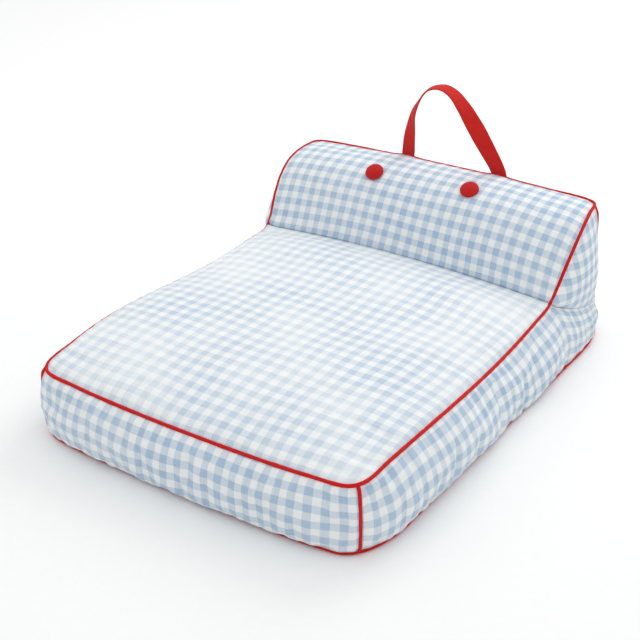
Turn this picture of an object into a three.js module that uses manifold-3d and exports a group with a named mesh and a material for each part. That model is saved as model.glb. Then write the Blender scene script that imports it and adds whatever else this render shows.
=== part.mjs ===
// Pet cushion bed: a boxed mattress with a wedge headrest behind it, both in one checked cotton
// cover. Piping runs round every outer edge, two covered buttons sit on the headrest, a webbing
// handle is sewn into the rear seam and a zip closes the back.
// Millimetres, +Z up, +Y towards the headrest. The origin is on the floor under the middle.

import * as THREE from 'three';
import { mergeVertices } from 'three/addons/utils/BufferGeometryUtils.js';
import Module from 'manifold-3d';

const wasm = await Module();
wasm.setup();

// Cover outline
const FRONT_Y = -317;            // front top corners
const CREASE_Y = 194;            // seam between mattress and headrest
const REAR_Y = 331;              // rear top seam
const SEAM_HALF_WIDTH = 236;     // top seam at its corners
const FOOT_FRONT_HALF_WIDTH = 254.5;
const FOOT_REAR_HALF_WIDTH = 274.5;
const FOOT_FRONT_ROUNDING = 18;  // how far the floor seam draws in at its corners
const FOOT_REAR_ROUNDING = 20.5;
const MATTRESS_SEAM_Z = 97;
const CREASE_RISE = 11;          // the crease is higher in the middle than at its ends
const HEADREST_CORNER_Z = 195;
const HEADREST_ARCH = 6;
const HEADREST_LEAN = 3.5;       // the stuffed headrest leans a little towards the right
const HEADREST_TILT = 3;         // and stands higher there
const GUSSET_SEAM_REAR_Z = 50;   // side and back seams below the headrest
const GUSSET_SEAM_REAR_HALF_WIDTH = 250.5;

// How far each stuffed panel swells past its seams
const TOP_CROWN = 25;
const BACKREST_CROWN = 13;
const FRONT_SWELL = 17;
const SIDE_SWELL = 20;
const GUSSET_SWELL = 10;
const BACK_SWELL = 12;

// Materials and clearances
const CLOTH = 1.2;
const GAP = 0.35;
const PIPING_RADIUS = 2.7;
const PIPING_SIDES = 8;
const FLOOR_SEAM_Z = PIPING_RADIUS + 0.4;
const EDGE = PIPING_RADIUS + GAP + 0.15;          // a panel's edge to the piping's centre line
const PIPING_JOINT = 2 * PIPING_RADIUS + 0.6;     // a piping's end to the next one's centre line
const STUFFING_INSET = 3;
const BACK_INSET = 5.6;
const INSERT_FLOOR_Z = CLOTH + GAP + 0.6;

// Panel sizes along the cloth, which turn a distance in from a seam into a share of the panel
const TOP_WIDTH = 480;
const TOP_LENGTH = 500;
const BACKREST_WIDTH = 470;
const BACKREST_HEIGHT = 160;
const FRONT_WIDTH = 470;
const FRONT_HEIGHT = 94;
const SIDE_LENGTH = 640;
const GUSSET_LENGTH = 137;

// Handle
const WEBBING_WIDTH = 25;
const WEBBING_THICKNESS = 2.6;
const HANDLE_LEFT_FOOT_TWIST = THREE.MathUtils.degToRad(-14);
const HANDLE_RIGHT_FOOT_TWIST = THREE.MathUtils.degToRad(4);
const HANDLE_TOP_TWIST = THREE.MathUtils.degToRad(-90);

// Buttons
const BUTTON_RADIUS = 14;
const BUTTON_LIFT = 0.6;
const BUTTON_POSITIONS = { left: [-0.345, 0.55], right: [0.285, 0.605] };

// Zip
const ZIP_HALF_LENGTH = 190;
const ZIP_SLOT_HALF_HEIGHT = 3.6;
const ZIP_SLIT = 0.9;
const TAPE_THICKNESS = 0.8;
const COIL_STANDOFF = 0.35;
const COIL_HEIGHT = 1.7;
const PULL_THICKNESS = 1;

const { lerp, clamp } = THREE.MathUtils;
const vec = (x, y, z) => new THREE.Vector3(x, y, z);
const hump = (s) => 4 * s * (1 - s);
const wave = (s) => Math.sin(2 * Math.PI * s);
const roundOff = (a, power) => Math.sqrt(Math.max(0, 1 - Math.abs(a) ** power));

// ---------------------------------------------------------------- seams

// s runs from the front corner to the crease
function mattressSideSeam(side, s) {
  const out = SEAM_HALF_WIDTH + 2.3 * s + 9 * hump(s) + 2.9 * wave(s);
  const z = MATTRESS_SEAM_Z - 3 * s - 1.5 * hump(s) + 6.6 * wave(s);
  return vec(side * out, lerp(FRONT_Y, CREASE_Y, s), z);
}

// s runs from left to right along every cross seam
function frontSeam(s) {
  const x = lerp(-SEAM_HALF_WIDTH, SEAM_HALF_WIDTH, s);
  return vec(x, FRONT_Y - 11 * roundOff(2 * s - 1, 4), MATTRESS_SEAM_Z - 7.5 * hump(s));
}

function creaseSeam(s) {
  const half = SEAM_HALF_WIDTH + 2.3;
  return vec(lerp(-half, half, s), CREASE_Y, MATTRESS_SEAM_Z - 3 + CREASE_RISE * hump(s));
}

function rearSeam(s) {
  const half = SEAM_HALF_WIDTH - 1;
  const tilt = lerp(-HEADREST_TILT, HEADREST_TILT, s);
  const z = HEADREST_CORNER_Z + tilt + HEADREST_ARCH * (1 - Math.abs(2 * s - 1) ** 2.5);
  return vec(lerp(-half, half, s) + HEADREST_LEAN, REAR_Y, z);
}

// The rear seam's height above a given x
function rearSeamZ(x) {
  return rearSeam(clamp(0.5 + (x - HEADREST_LEAN) / (2 * SEAM_HALF_WIDTH), 0, 1)).z;
}

// q runs from the crease up to the headrest's rear corner
function headrestSideSeam(side, q) {
  const profile = new THREE.CubicBezierCurve(
    new THREE.Vector2(CREASE_Y, MATTRESS_SEAM_Z - 3),
    new THREE.Vector2(CREASE_Y + 43, HEADREST_CORNER_Z - 18),
    new THREE.Vector2(CREASE_Y + 70, HEADREST_CORNER_Z + 3),
    new THREE.Vector2(REAR_Y - 1, HEADREST_CORNER_Z + 1),
  ).getPoint(q);
  const out = SEAM_HALF_WIDTH + 2.3 - 3.3 * q + 9.6 * hump(q);
  return vec(side * out + HEADREST_LEAN * q, profile.x, profile.y + side * HEADREST_TILT * q);
}

// q runs from the crease to the rear, below the headrest
function gussetSeam(side, q) {
  const out = lerp(SEAM_HALF_WIDTH + 2.3, GUSSET_SEAM_REAR_HALF_WIDTH, q) + 15 * hump(q) ** 0.7;
  const z = GUSSET_SEAM_REAR_Z + (MATTRESS_SEAM_Z - 6 - GUSSET_SEAM_REAR_Z) * (1 - q) ** 1.6;
  return vec(side * out, lerp(CREASE_Y, REAR_Y, q), z);
}

// s runs from the front corner to the rear corner along the floor
function footSide(side, s) {
  const front = FOOT_FRONT_ROUNDING * (1 - clamp(s / 0.11, 0, 1)) ** 2;
  const rear = FOOT_REAR_ROUNDING * (1 - clamp((1 - s) / 0.12, 0, 1)) ** 2;
  const out = lerp(FOOT_FRONT_HALF_WIDTH, FOOT_REAR_HALF_WIDTH, s) - front - rear;
  return vec(side * out, lerp(FRONT_Y + 3, REAR_Y, s), FLOOR_SEAM_Z);
}

function footFront(s) {
  const half = FOOT_FRONT_HALF_WIDTH - FOOT_FRONT_ROUNDING;
  return vec(lerp(-half, half, s), FRONT_Y + 3 - 21 * roundOff(2 * s - 1, 5), FLOOR_SEAM_Z);
}

function footRear(s) {
  const half = FOOT_REAR_HALF_WIDTH - FOOT_REAR_ROUNDING;
  return vec(lerp(-half, half, s), REAR_Y + 5 * roundOff(2 * s - 1, 4), FLOOR_SEAM_Z);
}

// s runs up each vertical corner
function frontCorner(side, s) {
  const foot = FOOT_FRONT_HALF_WIDTH - FOOT_FRONT_ROUNDING;
  const out = lerp(foot, SEAM_HALF_WIDTH, s) + 3 * hump(s);
  const y = lerp(FRONT_Y + 3, FRONT_Y, s) - 3 * hump(s);
  return vec(side * out, y, lerp(FLOOR_SEAM_Z, MATTRESS_SEAM_Z, s));
}

function rearCorner(side, s) {
  const out = FOOT_REAR_HALF_WIDTH - FOOT_REAR_ROUNDING - 15.5 * s - 2 * s ** 12;
  const top = HEADREST_CORNER_Z + side * HEADREST_TILT;
  return vec(side * out + HEADREST_LEAN * s * s, REAR_Y, lerp(FLOOR_SEAM_Z, top, s));
}

// The rear corner's x at a given height
function rearCornerX(side, z) {
  const top = HEADREST_CORNER_Z + side * HEADREST_TILT;
  return rearCorner(side, clamp((z - FLOOR_SEAM_Z) / (top - FLOOR_SEAM_Z), 0, 1)).x;
}

// ---------------------------------------------------------------- panel surfaces

// A patch between four edges, each a function of 0..1
function coons(bottom, top, left, right, u, v) {
  const point = vec(0, 0, 0);
  point.addScaledVector(bottom(u), 1 - v).addScaledVector(top(u), v);
  point.addScaledVector(left(v), 1 - u).addScaledVector(right(v), u);
  point.addScaledVector(bottom(0), -(1 - u) * (1 - v)).addScaledVector(bottom(1), -u * (1 - v));
  point.addScaledVector(top(0), -(1 - u) * v).addScaledVector(top(1), -u * v);
  return point;
}

// How far a panel has risen at distance t from the crease, where two panels lean on each other
const fromCrease = (t, reach) => Math.sin(Math.PI / 2 * clamp(t / reach, 0, 1));

function topSurface(u, v) {
  const left = (s) => mattressSideSeam(-1, s);
  const right = (s) => mattressSideSeam(1, s);
  const point = coons(frontSeam, creaseSeam, left, right, u, v);
  const front = roundOff(Math.min(2 * v - 1, 0), 4);
  point.z += TOP_CROWN * roundOff(2 * u - 1, 4) * front * fromCrease(1 - v, 0.2);
  return point;
}

function backrestSurface(u, v) {
  const left = (q) => headrestSideSeam(-1, q);
  const right = (q) => headrestSideSeam(1, q);
  const point = coons(creaseSeam, rearSeam, left, right, u, v);
  const tilt = lerp(0.6, 1.2, v);
  const rear = fromCrease(1 - v, 0.65);
  const swell = BACKREST_CROWN * roundOff(2 * u - 1, 4) * rear * fromCrease(v, 0.45);
  point.y -= swell * Math.cos(tilt);
  point.z += swell * Math.sin(tilt);
  return point;
}

function frontSurface(u, v) {
  const left = (s) => frontCorner(-1, s);
  const right = (s) => frontCorner(1, s);
  const point = coons(footFront, frontSeam, left, right, u, v);
  point.y -= FRONT_SWELL * roundOff(2 * u - 1, 3) * roundOff(2 * v - 1, 3);
  return point;
}

function sideSurface(side, u, v) {
  const y = lerp(FRONT_Y, REAR_Y, u);
  const onMattress = y < CREASE_Y;
  const upper = onMattress
    ? mattressSideSeam(side, (y - FRONT_Y) / (CREASE_Y - FRONT_Y))
    : gussetSeam(side, (y - CREASE_Y) / (REAR_Y - CREASE_Y));
  const point = footSide(side, u).lerp(upper, v);
  const rearward = clamp((y - CREASE_Y + 60) / 120, 0, 1);
  const swell = lerp(SIDE_SWELL, 7, rearward) * hump(v) * roundOff(2 * u - 1, 8);
  point.x += side * swell;
  return point;
}

function gussetSurface(side, u, v) {
  const point = gussetSeam(side, u).lerp(headrestSideSeam(side, gussetMatch(u)), v);
  point.x += side * hump(v) * (GUSSET_SWELL * roundOff(2 * u - 1, 4) + 2 * u ** 6);
  return point;
}

// The headrest seam's q that lies above the gusset seam's q
function gussetMatch(q) {
  return clamp(0.25 * q + 0.75 * q ** 1.4, 0, 1);
}

function backSurface(x, z) {
  const seamHeight = rearSeamZ(x);
  const v = clamp((z - FLOOR_SEAM_Z) / (seamHeight - FLOOR_SEAM_Z), 0, 1);
  const half = rearCornerX(1, z);
  const level = clamp((Math.abs(x) - ZIP_HALF_LENGTH - 6) / (half - ZIP_HALF_LENGTH - 6), 0, 1);
  const foot = footRear(0.5 + x / (2 * half)).y;
  return vec(x, lerp(foot, REAR_Y, v) + BACK_SWELL * hump(v) ** 0.8 * roundOff(level, 2), z);
}

// ---------------------------------------------------------------- solid builders

function solid(vertices, triangles) {
  const geometry = new THREE.BufferGeometry();
  const flat = vertices.flatMap((point) => [point.x, point.y, point.z]);
  geometry.setAttribute('position', new THREE.Float32BufferAttribute(flat, 3));
  geometry.setIndex(triangles.flat());
  return facingOut(geometry);
}

function facingOut(geometry) {
  const position = geometry.getAttribute('position');
  const index = geometry.index.array;
  let volume = 0;
  const [a, b, c] = [vec(0, 0, 0), vec(0, 0, 0), vec(0, 0, 0)];
  for (let i = 0; i < index.length; i += 3) {
    a.fromBufferAttribute(position, index[i]);
    b.fromBufferAttribute(position, index[i + 1]);
    c.fromBufferAttribute(position, index[i + 2]);
    volume += a.dot(b.cross(c));
  }
  if (volume < 0) {
    geometry.setIndex(Array.from(index).reverse());
  }
  return geometry;
}

// Rings of points joined into one closed body, fanned shut at both ends
function loft(rings) {
  const vertices = rings.flat();
  const size = rings[0].length;
  const triangles = [];
  for (let r = 0; r + 1 < rings.length; r += 1) {
    for (let k = 0; k < size; k += 1) {
      const a = r * size + k;
      const b = r * size + (k + 1) % size;
      triangles.push([a, b, b + size], [a, b + size, a + size]);
    }
  }
  const middle = (ring) => ring.reduce((sum, p) => sum.add(p), vec(0, 0, 0)).divideScalar(size);
  const start = vertices.push(middle(rings[0])) - 1;
  const end = vertices.push(middle(rings.at(-1))) - 1;
  const last = (rings.length - 1) * size;
  for (let k = 0; k < size; k += 1) {
    const next = (k + 1) % size;
    triangles.push([start, next, k], [end, last + k, last + next]);
  }
  return solid(vertices, triangles);
}

// The point `depth` behind a surface, on the side away from `outside`
function behind(surface, u, v, depth, outside) {
  const step = 1e-3;
  const [u0, u1] = [Math.max(0, u - step), Math.min(1, u + step)];
  const [v0, v1] = [Math.max(0, v - step), Math.min(1, v + step)];
  const along = surface(u1, v).sub(surface(u0, v));
  const across = surface(u, v1).sub(surface(u, v0));
  const normal = along.cross(across).normalize();
  if (normal.dot(outside) < 0) {
    normal.negate();
  }
  return surface(u, v).addScaledVector(normal, -depth);
}

// A panel of cloth: the surface's outer face, the same face one thickness in, and the edge between
function clothPanel(surface, outside, us, vs, depth = 0, thickness = CLOTH) {
  const vertices = [];
  for (const layer of [depth, depth + thickness]) {
    for (const v of vs) {
      for (const u of us) {
        vertices.push(layer ? behind(surface, u, v, layer, outside) : surface(u, v));
      }
    }
  }
  const [columns, rows] = [us.length, vs.length];
  const inner = columns * rows;
  const at = (i, j) => j * columns + i;
  const triangles = [];
  const quad = (a, b, c, d) => triangles.push([a, b, c], [a, c, d]);
  for (let j = 0; j + 1 < rows; j += 1) {
    for (let i = 0; i + 1 < columns; i += 1) {
      quad(at(i, j), at(i + 1, j), at(i + 1, j + 1), at(i, j + 1));
      quad(inner + at(i, j), inner + at(i, j + 1), inner + at(i + 1, j + 1), inner + at(i + 1, j));
    }
  }
  const rim = [];
  for (let i = 0; i + 1 < columns; i += 1) {
    rim.push(at(i, 0));
  }
  for (let j = 0; j + 1 < rows; j += 1) {
    rim.push(at(columns - 1, j));
  }
  for (let i = columns - 1; i > 0; i -= 1) {
    rim.push(at(i, rows - 1));
  }
  for (let j = rows - 1; j > 0; j -= 1) {
    rim.push(at(0, j));
  }
  rim.forEach((a, k) => {
    const b = rim[(k + 1) % rim.length];
    quad(b, a, inner + a, inner + b);
  });
  return solid(vertices, triangles);
}

// Even steps from `from` to `to`, closer together near both ends
function steps(count, from, to) {
  return Array.from({ length: count + 1 }, (_, i) => {
    const t = i / count;
    return lerp(from, to, t - 0.09 * wave(t));
  });
}

function tube(points, radius, sides, stepCount) {
  const path = new THREE.CatmullRomCurve3(points, false, 'centripetal');
  const ring = new THREE.Shape();
  for (let k = 0; k < sides; k += 1) {
    const angle = 2 * Math.PI * k / sides;
    const [x, y] = [radius * Math.cos(angle), radius * Math.sin(angle)];
    if (k === 0) {
      ring.moveTo(x, y);
    } else {
      ring.lineTo(x, y);
    }
  }
  const geometry = new THREE.ExtrudeGeometry(ring, { steps: stepCount, extrudePath: path });
  return welded(geometry);
}

function welded(geometry) {
  const bare = geometry.clone();
  bare.deleteAttribute('normal');
  bare.deleteAttribute('uv');
  return facingOut(mergeVertices(bare, 1e-4));
}

function toManifold(geometry) {
  const merged = welded(geometry);
  const vertProperties = new Float32Array(merged.getAttribute('position').array);
  const triVerts = new Uint32Array(merged.index.array);
  return new wasm.Manifold(new wasm.Mesh({ numProp: 3, vertProperties, triVerts }));
}

function fromManifold(body) {
  const mesh = body.getMesh();
  const geometry = new THREE.BufferGeometry();
  geometry.setAttribute('position', new THREE.Float32BufferAttribute(mesh.vertProperties, 3));
  geometry.setIndex(Array.from(mesh.triVerts));
  return geometry;
}

function cut(geometry, tools) {
  const start = toManifold(geometry);
  return fromManifold(tools.reduce((body, tool) => body.subtract(toManifold(tool)), start));
}

function joined(geometries) {
  return fromManifold(geometries.map(toManifold).reduce((sum, body) => sum.add(body)));
}

function box(width, depth, height, x, y, z) {
  return new THREE.BoxGeometry(width, depth, height).translate(x, y, z);
}

// ---------------------------------------------------------------- cover panels

const UP = vec(0, 0, 1);
const FORWARD = vec(0, -1, 0);
const REARWARD = vec(0, 1, 0);
const sideways = (side) => vec(side, 0, 0);

// A surface with its side edges drawn in, and drawn in further where `corner` (0..1) nears 1
function drawnIn(surface, width, corner) {
  return (u, v) => {
    const inset = (EDGE + 10 * corner(v) ** 2) / width;
    return surface(lerp(inset, 1 - inset, u), v);
  };
}

function topPanel() {
  const surface = drawnIn(topSurface, TOP_WIDTH, (v) => clamp(1 - v / 0.06, 0, 1));
  const vs = steps(13, (EDGE + 0.6) / TOP_LENGTH, 1 - 1.2 * GAP / TOP_LENGTH);
  return clothPanel(surface, UP, steps(13, 0, 1), vs);
}

function backrestPanel(seats) {
  const nearRear = (v) => clamp((v - 0.88) / 0.12, 0, 1);
  const surface = drawnIn(backrestSurface, BACKREST_WIDTH, nearRear);
  const vs = steps(8, 1.2 * GAP / BACKREST_HEIGHT, 1 - (EDGE + 1.3) / BACKREST_HEIGHT);
  const panel = clothPanel(surface, UP.clone().add(FORWARD), steps(13, 0, 1), vs);
  const hole = new THREE.CylinderGeometry(1.6, 1.6, 12, 12);
  return cut(panel, seats.map((seat) => hole.clone().applyMatrix4(seat)));
}

function frontPanel() {
  const us = steps(14, EDGE / FRONT_WIDTH, 1 - EDGE / FRONT_WIDTH);
  const vs = steps(5, EDGE / FRONT_HEIGHT, 1 - EDGE / FRONT_HEIGHT);
  return clothPanel(frontSurface, FORWARD, us, vs);
}

function sidePanel(side) {
  const us = steps(18, EDGE / SIDE_LENGTH, 1 - EDGE / SIDE_LENGTH);
  const surface = (u, v) => {
    const height = sideSurface(side, u, 1).z - FLOOR_SEAM_Z;
    const y = lerp(FRONT_Y, REAR_Y, u);
    const pastPiping = clamp((y - CREASE_Y - 4) / 8, 0, 1);
    const upperEdge = lerp(EDGE + 0.4, GAP, pastPiping);
    return sideSurface(side, u, lerp((EDGE + 0.4) / height, 1 - upperEdge / height, v));
  };
  return clothPanel(surface, sideways(side), us, steps(5, 0, 1));
}

function gusset(side) {
  const us = steps(7, 0.1, 1 - (EDGE + 0.3) / GUSSET_LENGTH);
  const surface = (u, v) => {
    const height = headrestSideSeam(side, gussetMatch(u)).z - gussetSeam(side, u).z;
    return gussetSurface(side, u, lerp(0.9 / height, 1 - 1.6 * EDGE / height, v));
  };
  return clothPanel(surface, sideways(side), us, steps(6, 0, 1));
}

// x positions of the back panels' columns, with the zip slot's ends among them
function backColumns() {
  const even = Array.from({ length: 9 }, (_, i) => lerp(-172, 172, i / 8));
  const ends = [ZIP_HALF_LENGTH + 5, ZIP_HALF_LENGTH + 7, 214, 228, 238];
  return [...ends.map((x) => -x).reverse(), ...even, ...ends];
}

function slotHalf(x) {
  return Math.abs(x) < ZIP_HALF_LENGTH + 6 ? ZIP_SLOT_HALF_HEIGHT : GAP / 2;
}

function backPanel(lowAt, highAt, rows) {
  const columns = backColumns();
  const edge = columns.at(-1);
  const surface = (u, v) => {
    const x = lerp(-edge, edge, u);
    const z = lerp(lowAt(x), highAt(x), v);
    const spread = (Math.abs(rearCornerX(Math.sign(x) || 1, z)) - EDGE - 0.8) / edge;
    const outer = clamp((Math.abs(x) - 200) / (edge - 200), 0, 1);
    return backSurface(x * lerp(1, spread, outer), z);
  };
  const us = columns.map((x) => (x + edge) / (2 * edge));
  return clothPanel(surface, REARWARD, us, steps(rows, 0, 1));
}

function backPanelUpper() {
  const high = (x) => rearSeamZ(x) - EDGE - 0.8;
  return backPanel((x) => GUSSET_SEAM_REAR_Z + slotHalf(x), high, 6);
}

function backPanelLower() {
  return backPanel(() => FLOOR_SEAM_Z + EDGE, (x) => GUSSET_SEAM_REAR_Z - slotHalf(x), 3);
}

function footOutline() {
  const points = [];
  const add = (edge, from, to, count) => {
    for (let i = 0; i <= count; i += 1) {
      points.push(edge(lerp(from, to, i / count)));
    }
  };
  add(footRear, 0.52, 0.97, 6);
  add((s) => footSide(1, s), 0.985, 0.015, 16);
  add(footFront, 0.97, 0.03, 12);
  add((s) => footSide(-1, s), 0.015, 0.985, 16);
  add(footRear, 0.03, 0.48, 6);
  return points;
}

// The outline drawn in from the seam so that it clears the piping
function flatPlate(points, inset, thickness, z) {
  const inner = points.map((point, i) => {
    const next = points[(i + 1) % points.length];
    const tangent = next.clone().sub(points.at(i - 1)).setZ(0).normalize();
    return point.clone().add(vec(tangent.y, -tangent.x, 0).multiplyScalar(inset));
  });
  const shape = new THREE.Shape(inner.map((point) => new THREE.Vector2(point.x, point.y)));
  const plate = new THREE.ExtrudeGeometry(shape, { depth: thickness, bevelEnabled: false });
  return plate.translate(0, 0, z);
}

function bottomPanel() {
  return welded(flatPlate(footOutline(), EDGE + 1.5, CLOTH, 0));
}

// ---------------------------------------------------------------- piping

function upperPiping() {
  const points = [];
  const add = (edge, from, to, count) => {
    for (let i = 0; i <= count; i += 1) {
      points.push(edge(lerp(from, to, i / count)));
    }
  };
  add(rearSeam, 0.5012, 0.97, 5);
  add((q) => headrestSideSeam(1, q), 0.96, 0.06, 6);
  add((s) => mattressSideSeam(1, s), 0.985, 0.02, 10);
  add(frontSeam, 0.975, 0.025, 9);
  add((s) => mattressSideSeam(-1, s), 0.02, 0.985, 10);
  add((q) => headrestSideSeam(-1, q), 0.06, 0.96, 6);
  add(rearSeam, 0.03, 0.4988, 5);
  return tube(points, PIPING_RADIUS, PIPING_SIDES, 112);
}

function lowerPiping() {
  const points = footOutline();
  points.unshift(footRear(0.5012));
  points.push(footRear(0.4988));
  return tube(points, PIPING_RADIUS, PIPING_SIDES, 84);
}

function cornerPiping(corner, side, height, topJoint) {
  const points = [];
  for (let i = 0; i <= 8; i += 1) {
    points.push(corner(side, lerp(PIPING_JOINT / height, 1 - topJoint / height, i / 8)));
  }
  return tube(points, PIPING_RADIUS, PIPING_SIDES, 8);
}

// ---------------------------------------------------------------- stuffed inner cushions

// A closed body swept across the bed. Each profile is a ring in the y-z plane for u in 0..1
function stuffedBlock(profileAt, swell) {
  const rings = Array.from({ length: 11 }, (_, i) => profileAt(lerp(0.012, 0.988, i / 10)));
  const capped = (ring, side) => {
    const centre = ring.reduce((sum, p) => sum.add(p), vec(0, 0, 0)).divideScalar(ring.length);
    const layers = [[0.8, 0.4], [0.66, 0.75], [0.4, 1]];
    return layers.map(([keep, out]) => ring.map((point) => {
      const drawn = centre.clone().lerp(point, keep);
      drawn.x = lerp(point.x, centre.x, 0.4 + 0.5 * out) + side * swell * out;
      return drawn;
    }));
  };
  const left = capped(rings[0], -1).reverse();
  const right = capped(rings.at(-1), 1);
  return loft([...left, ...rings, ...right]);
}

function mattressInsert() {
  const rear = CREASE_Y - 1.4;
  const profileAt = (u) => {
    const halfAt = (s) => footSide(1, s).x - STUFFING_INSET;
    const onFloor = (y, s) => vec(lerp(-halfAt(s), halfAt(s), u), y, INSERT_FLOOR_Z);
    const seam = creaseSeam(u);
    const frontHalf = FOOT_FRONT_HALF_WIDTH - 40;
    const ring = [
      vec(lerp(-frontHalf, frontHalf, u), FRONT_Y - 6, INSERT_FLOOR_Z),
      onFloor(FRONT_Y + 45, 0.04),
      onFloor(lerp(FRONT_Y, rear, 0.5), 0.4),
      onFloor(rear, 0.78),
      vec(seam.x * 1.04, rear, 40),
      vec(seam.x * 0.985, rear, seam.z - 8),
    ];
    for (const v of [0.97, 0.9, 0.78, 0.6, 0.42, 0.24, 0.12, 0.04]) {
      ring.push(behind(topSurface, clamp(u, 0.025, 0.975), v, STUFFING_INSET, UP));
    }
    for (const v of [0.8, 0.5, 0.2]) {
      ring.push(behind(frontSurface, clamp(u, 0.06, 0.94), v, STUFFING_INSET + 0.6, FORWARD));
    }
    return ring;
  };
  return stuffedBlock(profileAt, SIDE_SWELL * 0.55);
}

function headrestInsert(seats) {
  const front = CREASE_Y + 1.4;
  const profileAt = (u) => {
    const half = FOOT_REAR_HALF_WIDTH - 10;
    const seam = creaseSeam(u);
    const atBack = (z) => {
      const margin = BACK_INSET + 2;
      const x = lerp(rearCornerX(-1, z) + margin, rearCornerX(1, z) - margin, u);
      const point = backSurface(x, z);
      point.y -= BACK_INSET;
      return point;
    };
    const ring = [
      vec(seam.x * 0.985, front, seam.z - 8),
      vec(seam.x * 1.04, front, 40),
      vec(lerp(-half, half, u), front, INSERT_FLOOR_Z),
      vec(lerp(-half, half, u), REAR_Y - 30, INSERT_FLOOR_Z),
      atBack(8),
      atBack(30),
      atBack(GUSSET_SEAM_REAR_Z),
      atBack(90),
      atBack(140),
      atBack(180),
    ];
    for (const v of [0.94, 0.82, 0.66, 0.5, 0.34, 0.18, 0.06]) {
      const outside = UP.clone().add(FORWARD);
      ring.push(behind(backrestSurface, clamp(u, 0.025, 0.975), v, STUFFING_INSET, outside));
    }
    return ring;
  };
  const pocket = new THREE.CylinderGeometry(9.5, 9.5, 12, 20).translate(0, -4, 0);
  const pockets = seats.map((seat) => pocket.clone().applyMatrix4(seat));
  return cut(stuffedBlock(profileAt, GUSSET_SWELL), pockets);
}

function partitionPanel() {
  const shape = new THREE.Shape();
  shape.moveTo(-(FOOT_REAR_HALF_WIDTH - 12), INSERT_FLOOR_Z);
  shape.lineTo(FOOT_REAR_HALF_WIDTH - 12, INSERT_FLOOR_Z);
  shape.lineTo(FOOT_REAR_HALF_WIDTH - 14, 40);
  for (let i = 0; i <= 10; i += 1) {
    const seam = creaseSeam(lerp(0.985, 0.015, i / 10));
    shape.lineTo(seam.x, seam.z - 4.5);
  }
  shape.lineTo(-(FOOT_REAR_HALF_WIDTH - 14), 40);
  shape.closePath();
  const sheet = new THREE.ExtrudeGeometry(shape, { depth: CLOTH, bevelEnabled: false });
  return welded(sheet.rotateX(Math.PI / 2).translate(0, CREASE_Y + CLOTH / 2, 0));
}

// ---------------------------------------------------------------- handle

// The strap's centre line, from the left foot over the arch to the right foot
function handlePath() {
  const base = rearSeam(0.5).z + PIPING_RADIUS + 2;
  const arch = [
    [-70, 0], [-68, 28], [-66, 51], [-60, 74], [-50, 95], [-35, 111], [-17, 116],
    [5, 108], [21, 91], [42, 64], [62, 36], [76, 17], [85, 0],
  ];
  const points = arch.map(([x, rise]) => vec(x, REAR_Y, base + rise));
  return new THREE.CatmullRomCurve3(points, false, 'centripetal');
}

function handleTwist(t) {
  const ease = (x) => THREE.MathUtils.smoothstep(x, 0, 1);
  return t < 0.45
    ? lerp(HANDLE_LEFT_FOOT_TWIST, HANDLE_TOP_TWIST, ease(t / 0.45))
    : lerp(HANDLE_RIGHT_FOOT_TWIST, HANDLE_TOP_TWIST, ease((1 - t) / 0.55));
}

function handleStrap() {
  const path = handlePath();
  const count = 36;
  const rings = [];
  for (let i = 0; i <= count; i += 1) {
    const t = i / count;
    const along = path.getPointAt(t);
    const tangent = t === 0 || t === 1 ? vec(0, 0, t === 0 ? 1 : -1) : path.getTangentAt(t);
    const inPlane = vec(tangent.z, 0, -tangent.x);
    const twist = handleTwist(t);
    const across = inPlane.multiplyScalar(Math.cos(twist)).add(vec(0, Math.sin(twist), 0));
    const through = tangent.clone().cross(across);
    rings.push([[-1, -1], [1, -1], [1, 1], [-1, 1]].map(([a, b]) => along.clone()
      .addScaledVector(across, a * WEBBING_WIDTH / 2)
      .addScaledVector(through, b * WEBBING_THICKNESS / 2)));
  }
  return loft(rings);
}

// ---------------------------------------------------------------- buttons

// Lathe profiles are [radius, height] pairs; height 0 is the button's rim on the cloth
function turned(profile, segments) {
  const points = profile.map(([radius, height]) => new THREE.Vector2(radius, height + BUTTON_LIFT));
  return welded(new THREE.LatheGeometry(points, segments));
}

function dome(radius, height, base, from, to, count) {
  return Array.from({ length: count + 1 }, (_, i) => {
    const angle = lerp(from, to, i / count);
    return [radius * Math.sin(angle), base + height * Math.cos(angle)];
  });
}

function buttonCover() {
  const outer = dome(BUTTON_RADIUS, 5.8, 2.6, 0, Math.PI / 2, 4);
  const inner = dome(BUTTON_RADIUS - 0.8, 5, 2.6, Math.PI / 2, 0, 4);
  return turned([...outer, [13.4, 0.7], [11.9, 0.2], [11.7, 0.9], [12.8, 1.2], ...inner], 18);
}

function buttonShell() {
  const outer = dome(BUTTON_RADIUS - 1.25, 4.55, 2.6, 0, Math.PI / 2, 3);
  const inner = dome(BUTTON_RADIUS - 1.85, 3.95, 2.6, Math.PI / 2, 0, 3);
  return turned([...outer, [12.2, 1.7], [11.7, 1.7], ...inner], 18);
}

function buttonBackPlate() {
  return turned([[1.6, 0.1], [11.2, 0.1], [11.2, 1.1], [1.6, 1.1], [1.6, 0.1]], 16);
}

function buttonThread() {
  return welded(new THREE.CylinderGeometry(0.9, 0.9, 7.4, 8).translate(0, -1.7, 0));
}

function buttonWasher() {
  const depth = -(CLOTH + GAP + 2.9 + BUTTON_LIFT);
  return turned([[1.4, depth], [6, depth], [6, depth + 1.2], [1.4, depth + 1.2], [1.4, depth]], 16);
}

// Where a button stands on the backrest, its own axis along the cloth's normal
function buttonSeat([across, up]) {
  const [u, v] = [(across + 1) / 2, up];
  const outside = UP.clone().add(FORWARD);
  const point = backrestSurface(u, v);
  const normal = point.clone().sub(behind(backrestSurface, u, v, 1, outside));
  const turn = new THREE.Quaternion().setFromUnitVectors(vec(0, 1, 0), normal);
  return new THREE.Matrix4().compose(point, turn, vec(1, 1, 1));
}

// ---------------------------------------------------------------- zip

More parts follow.
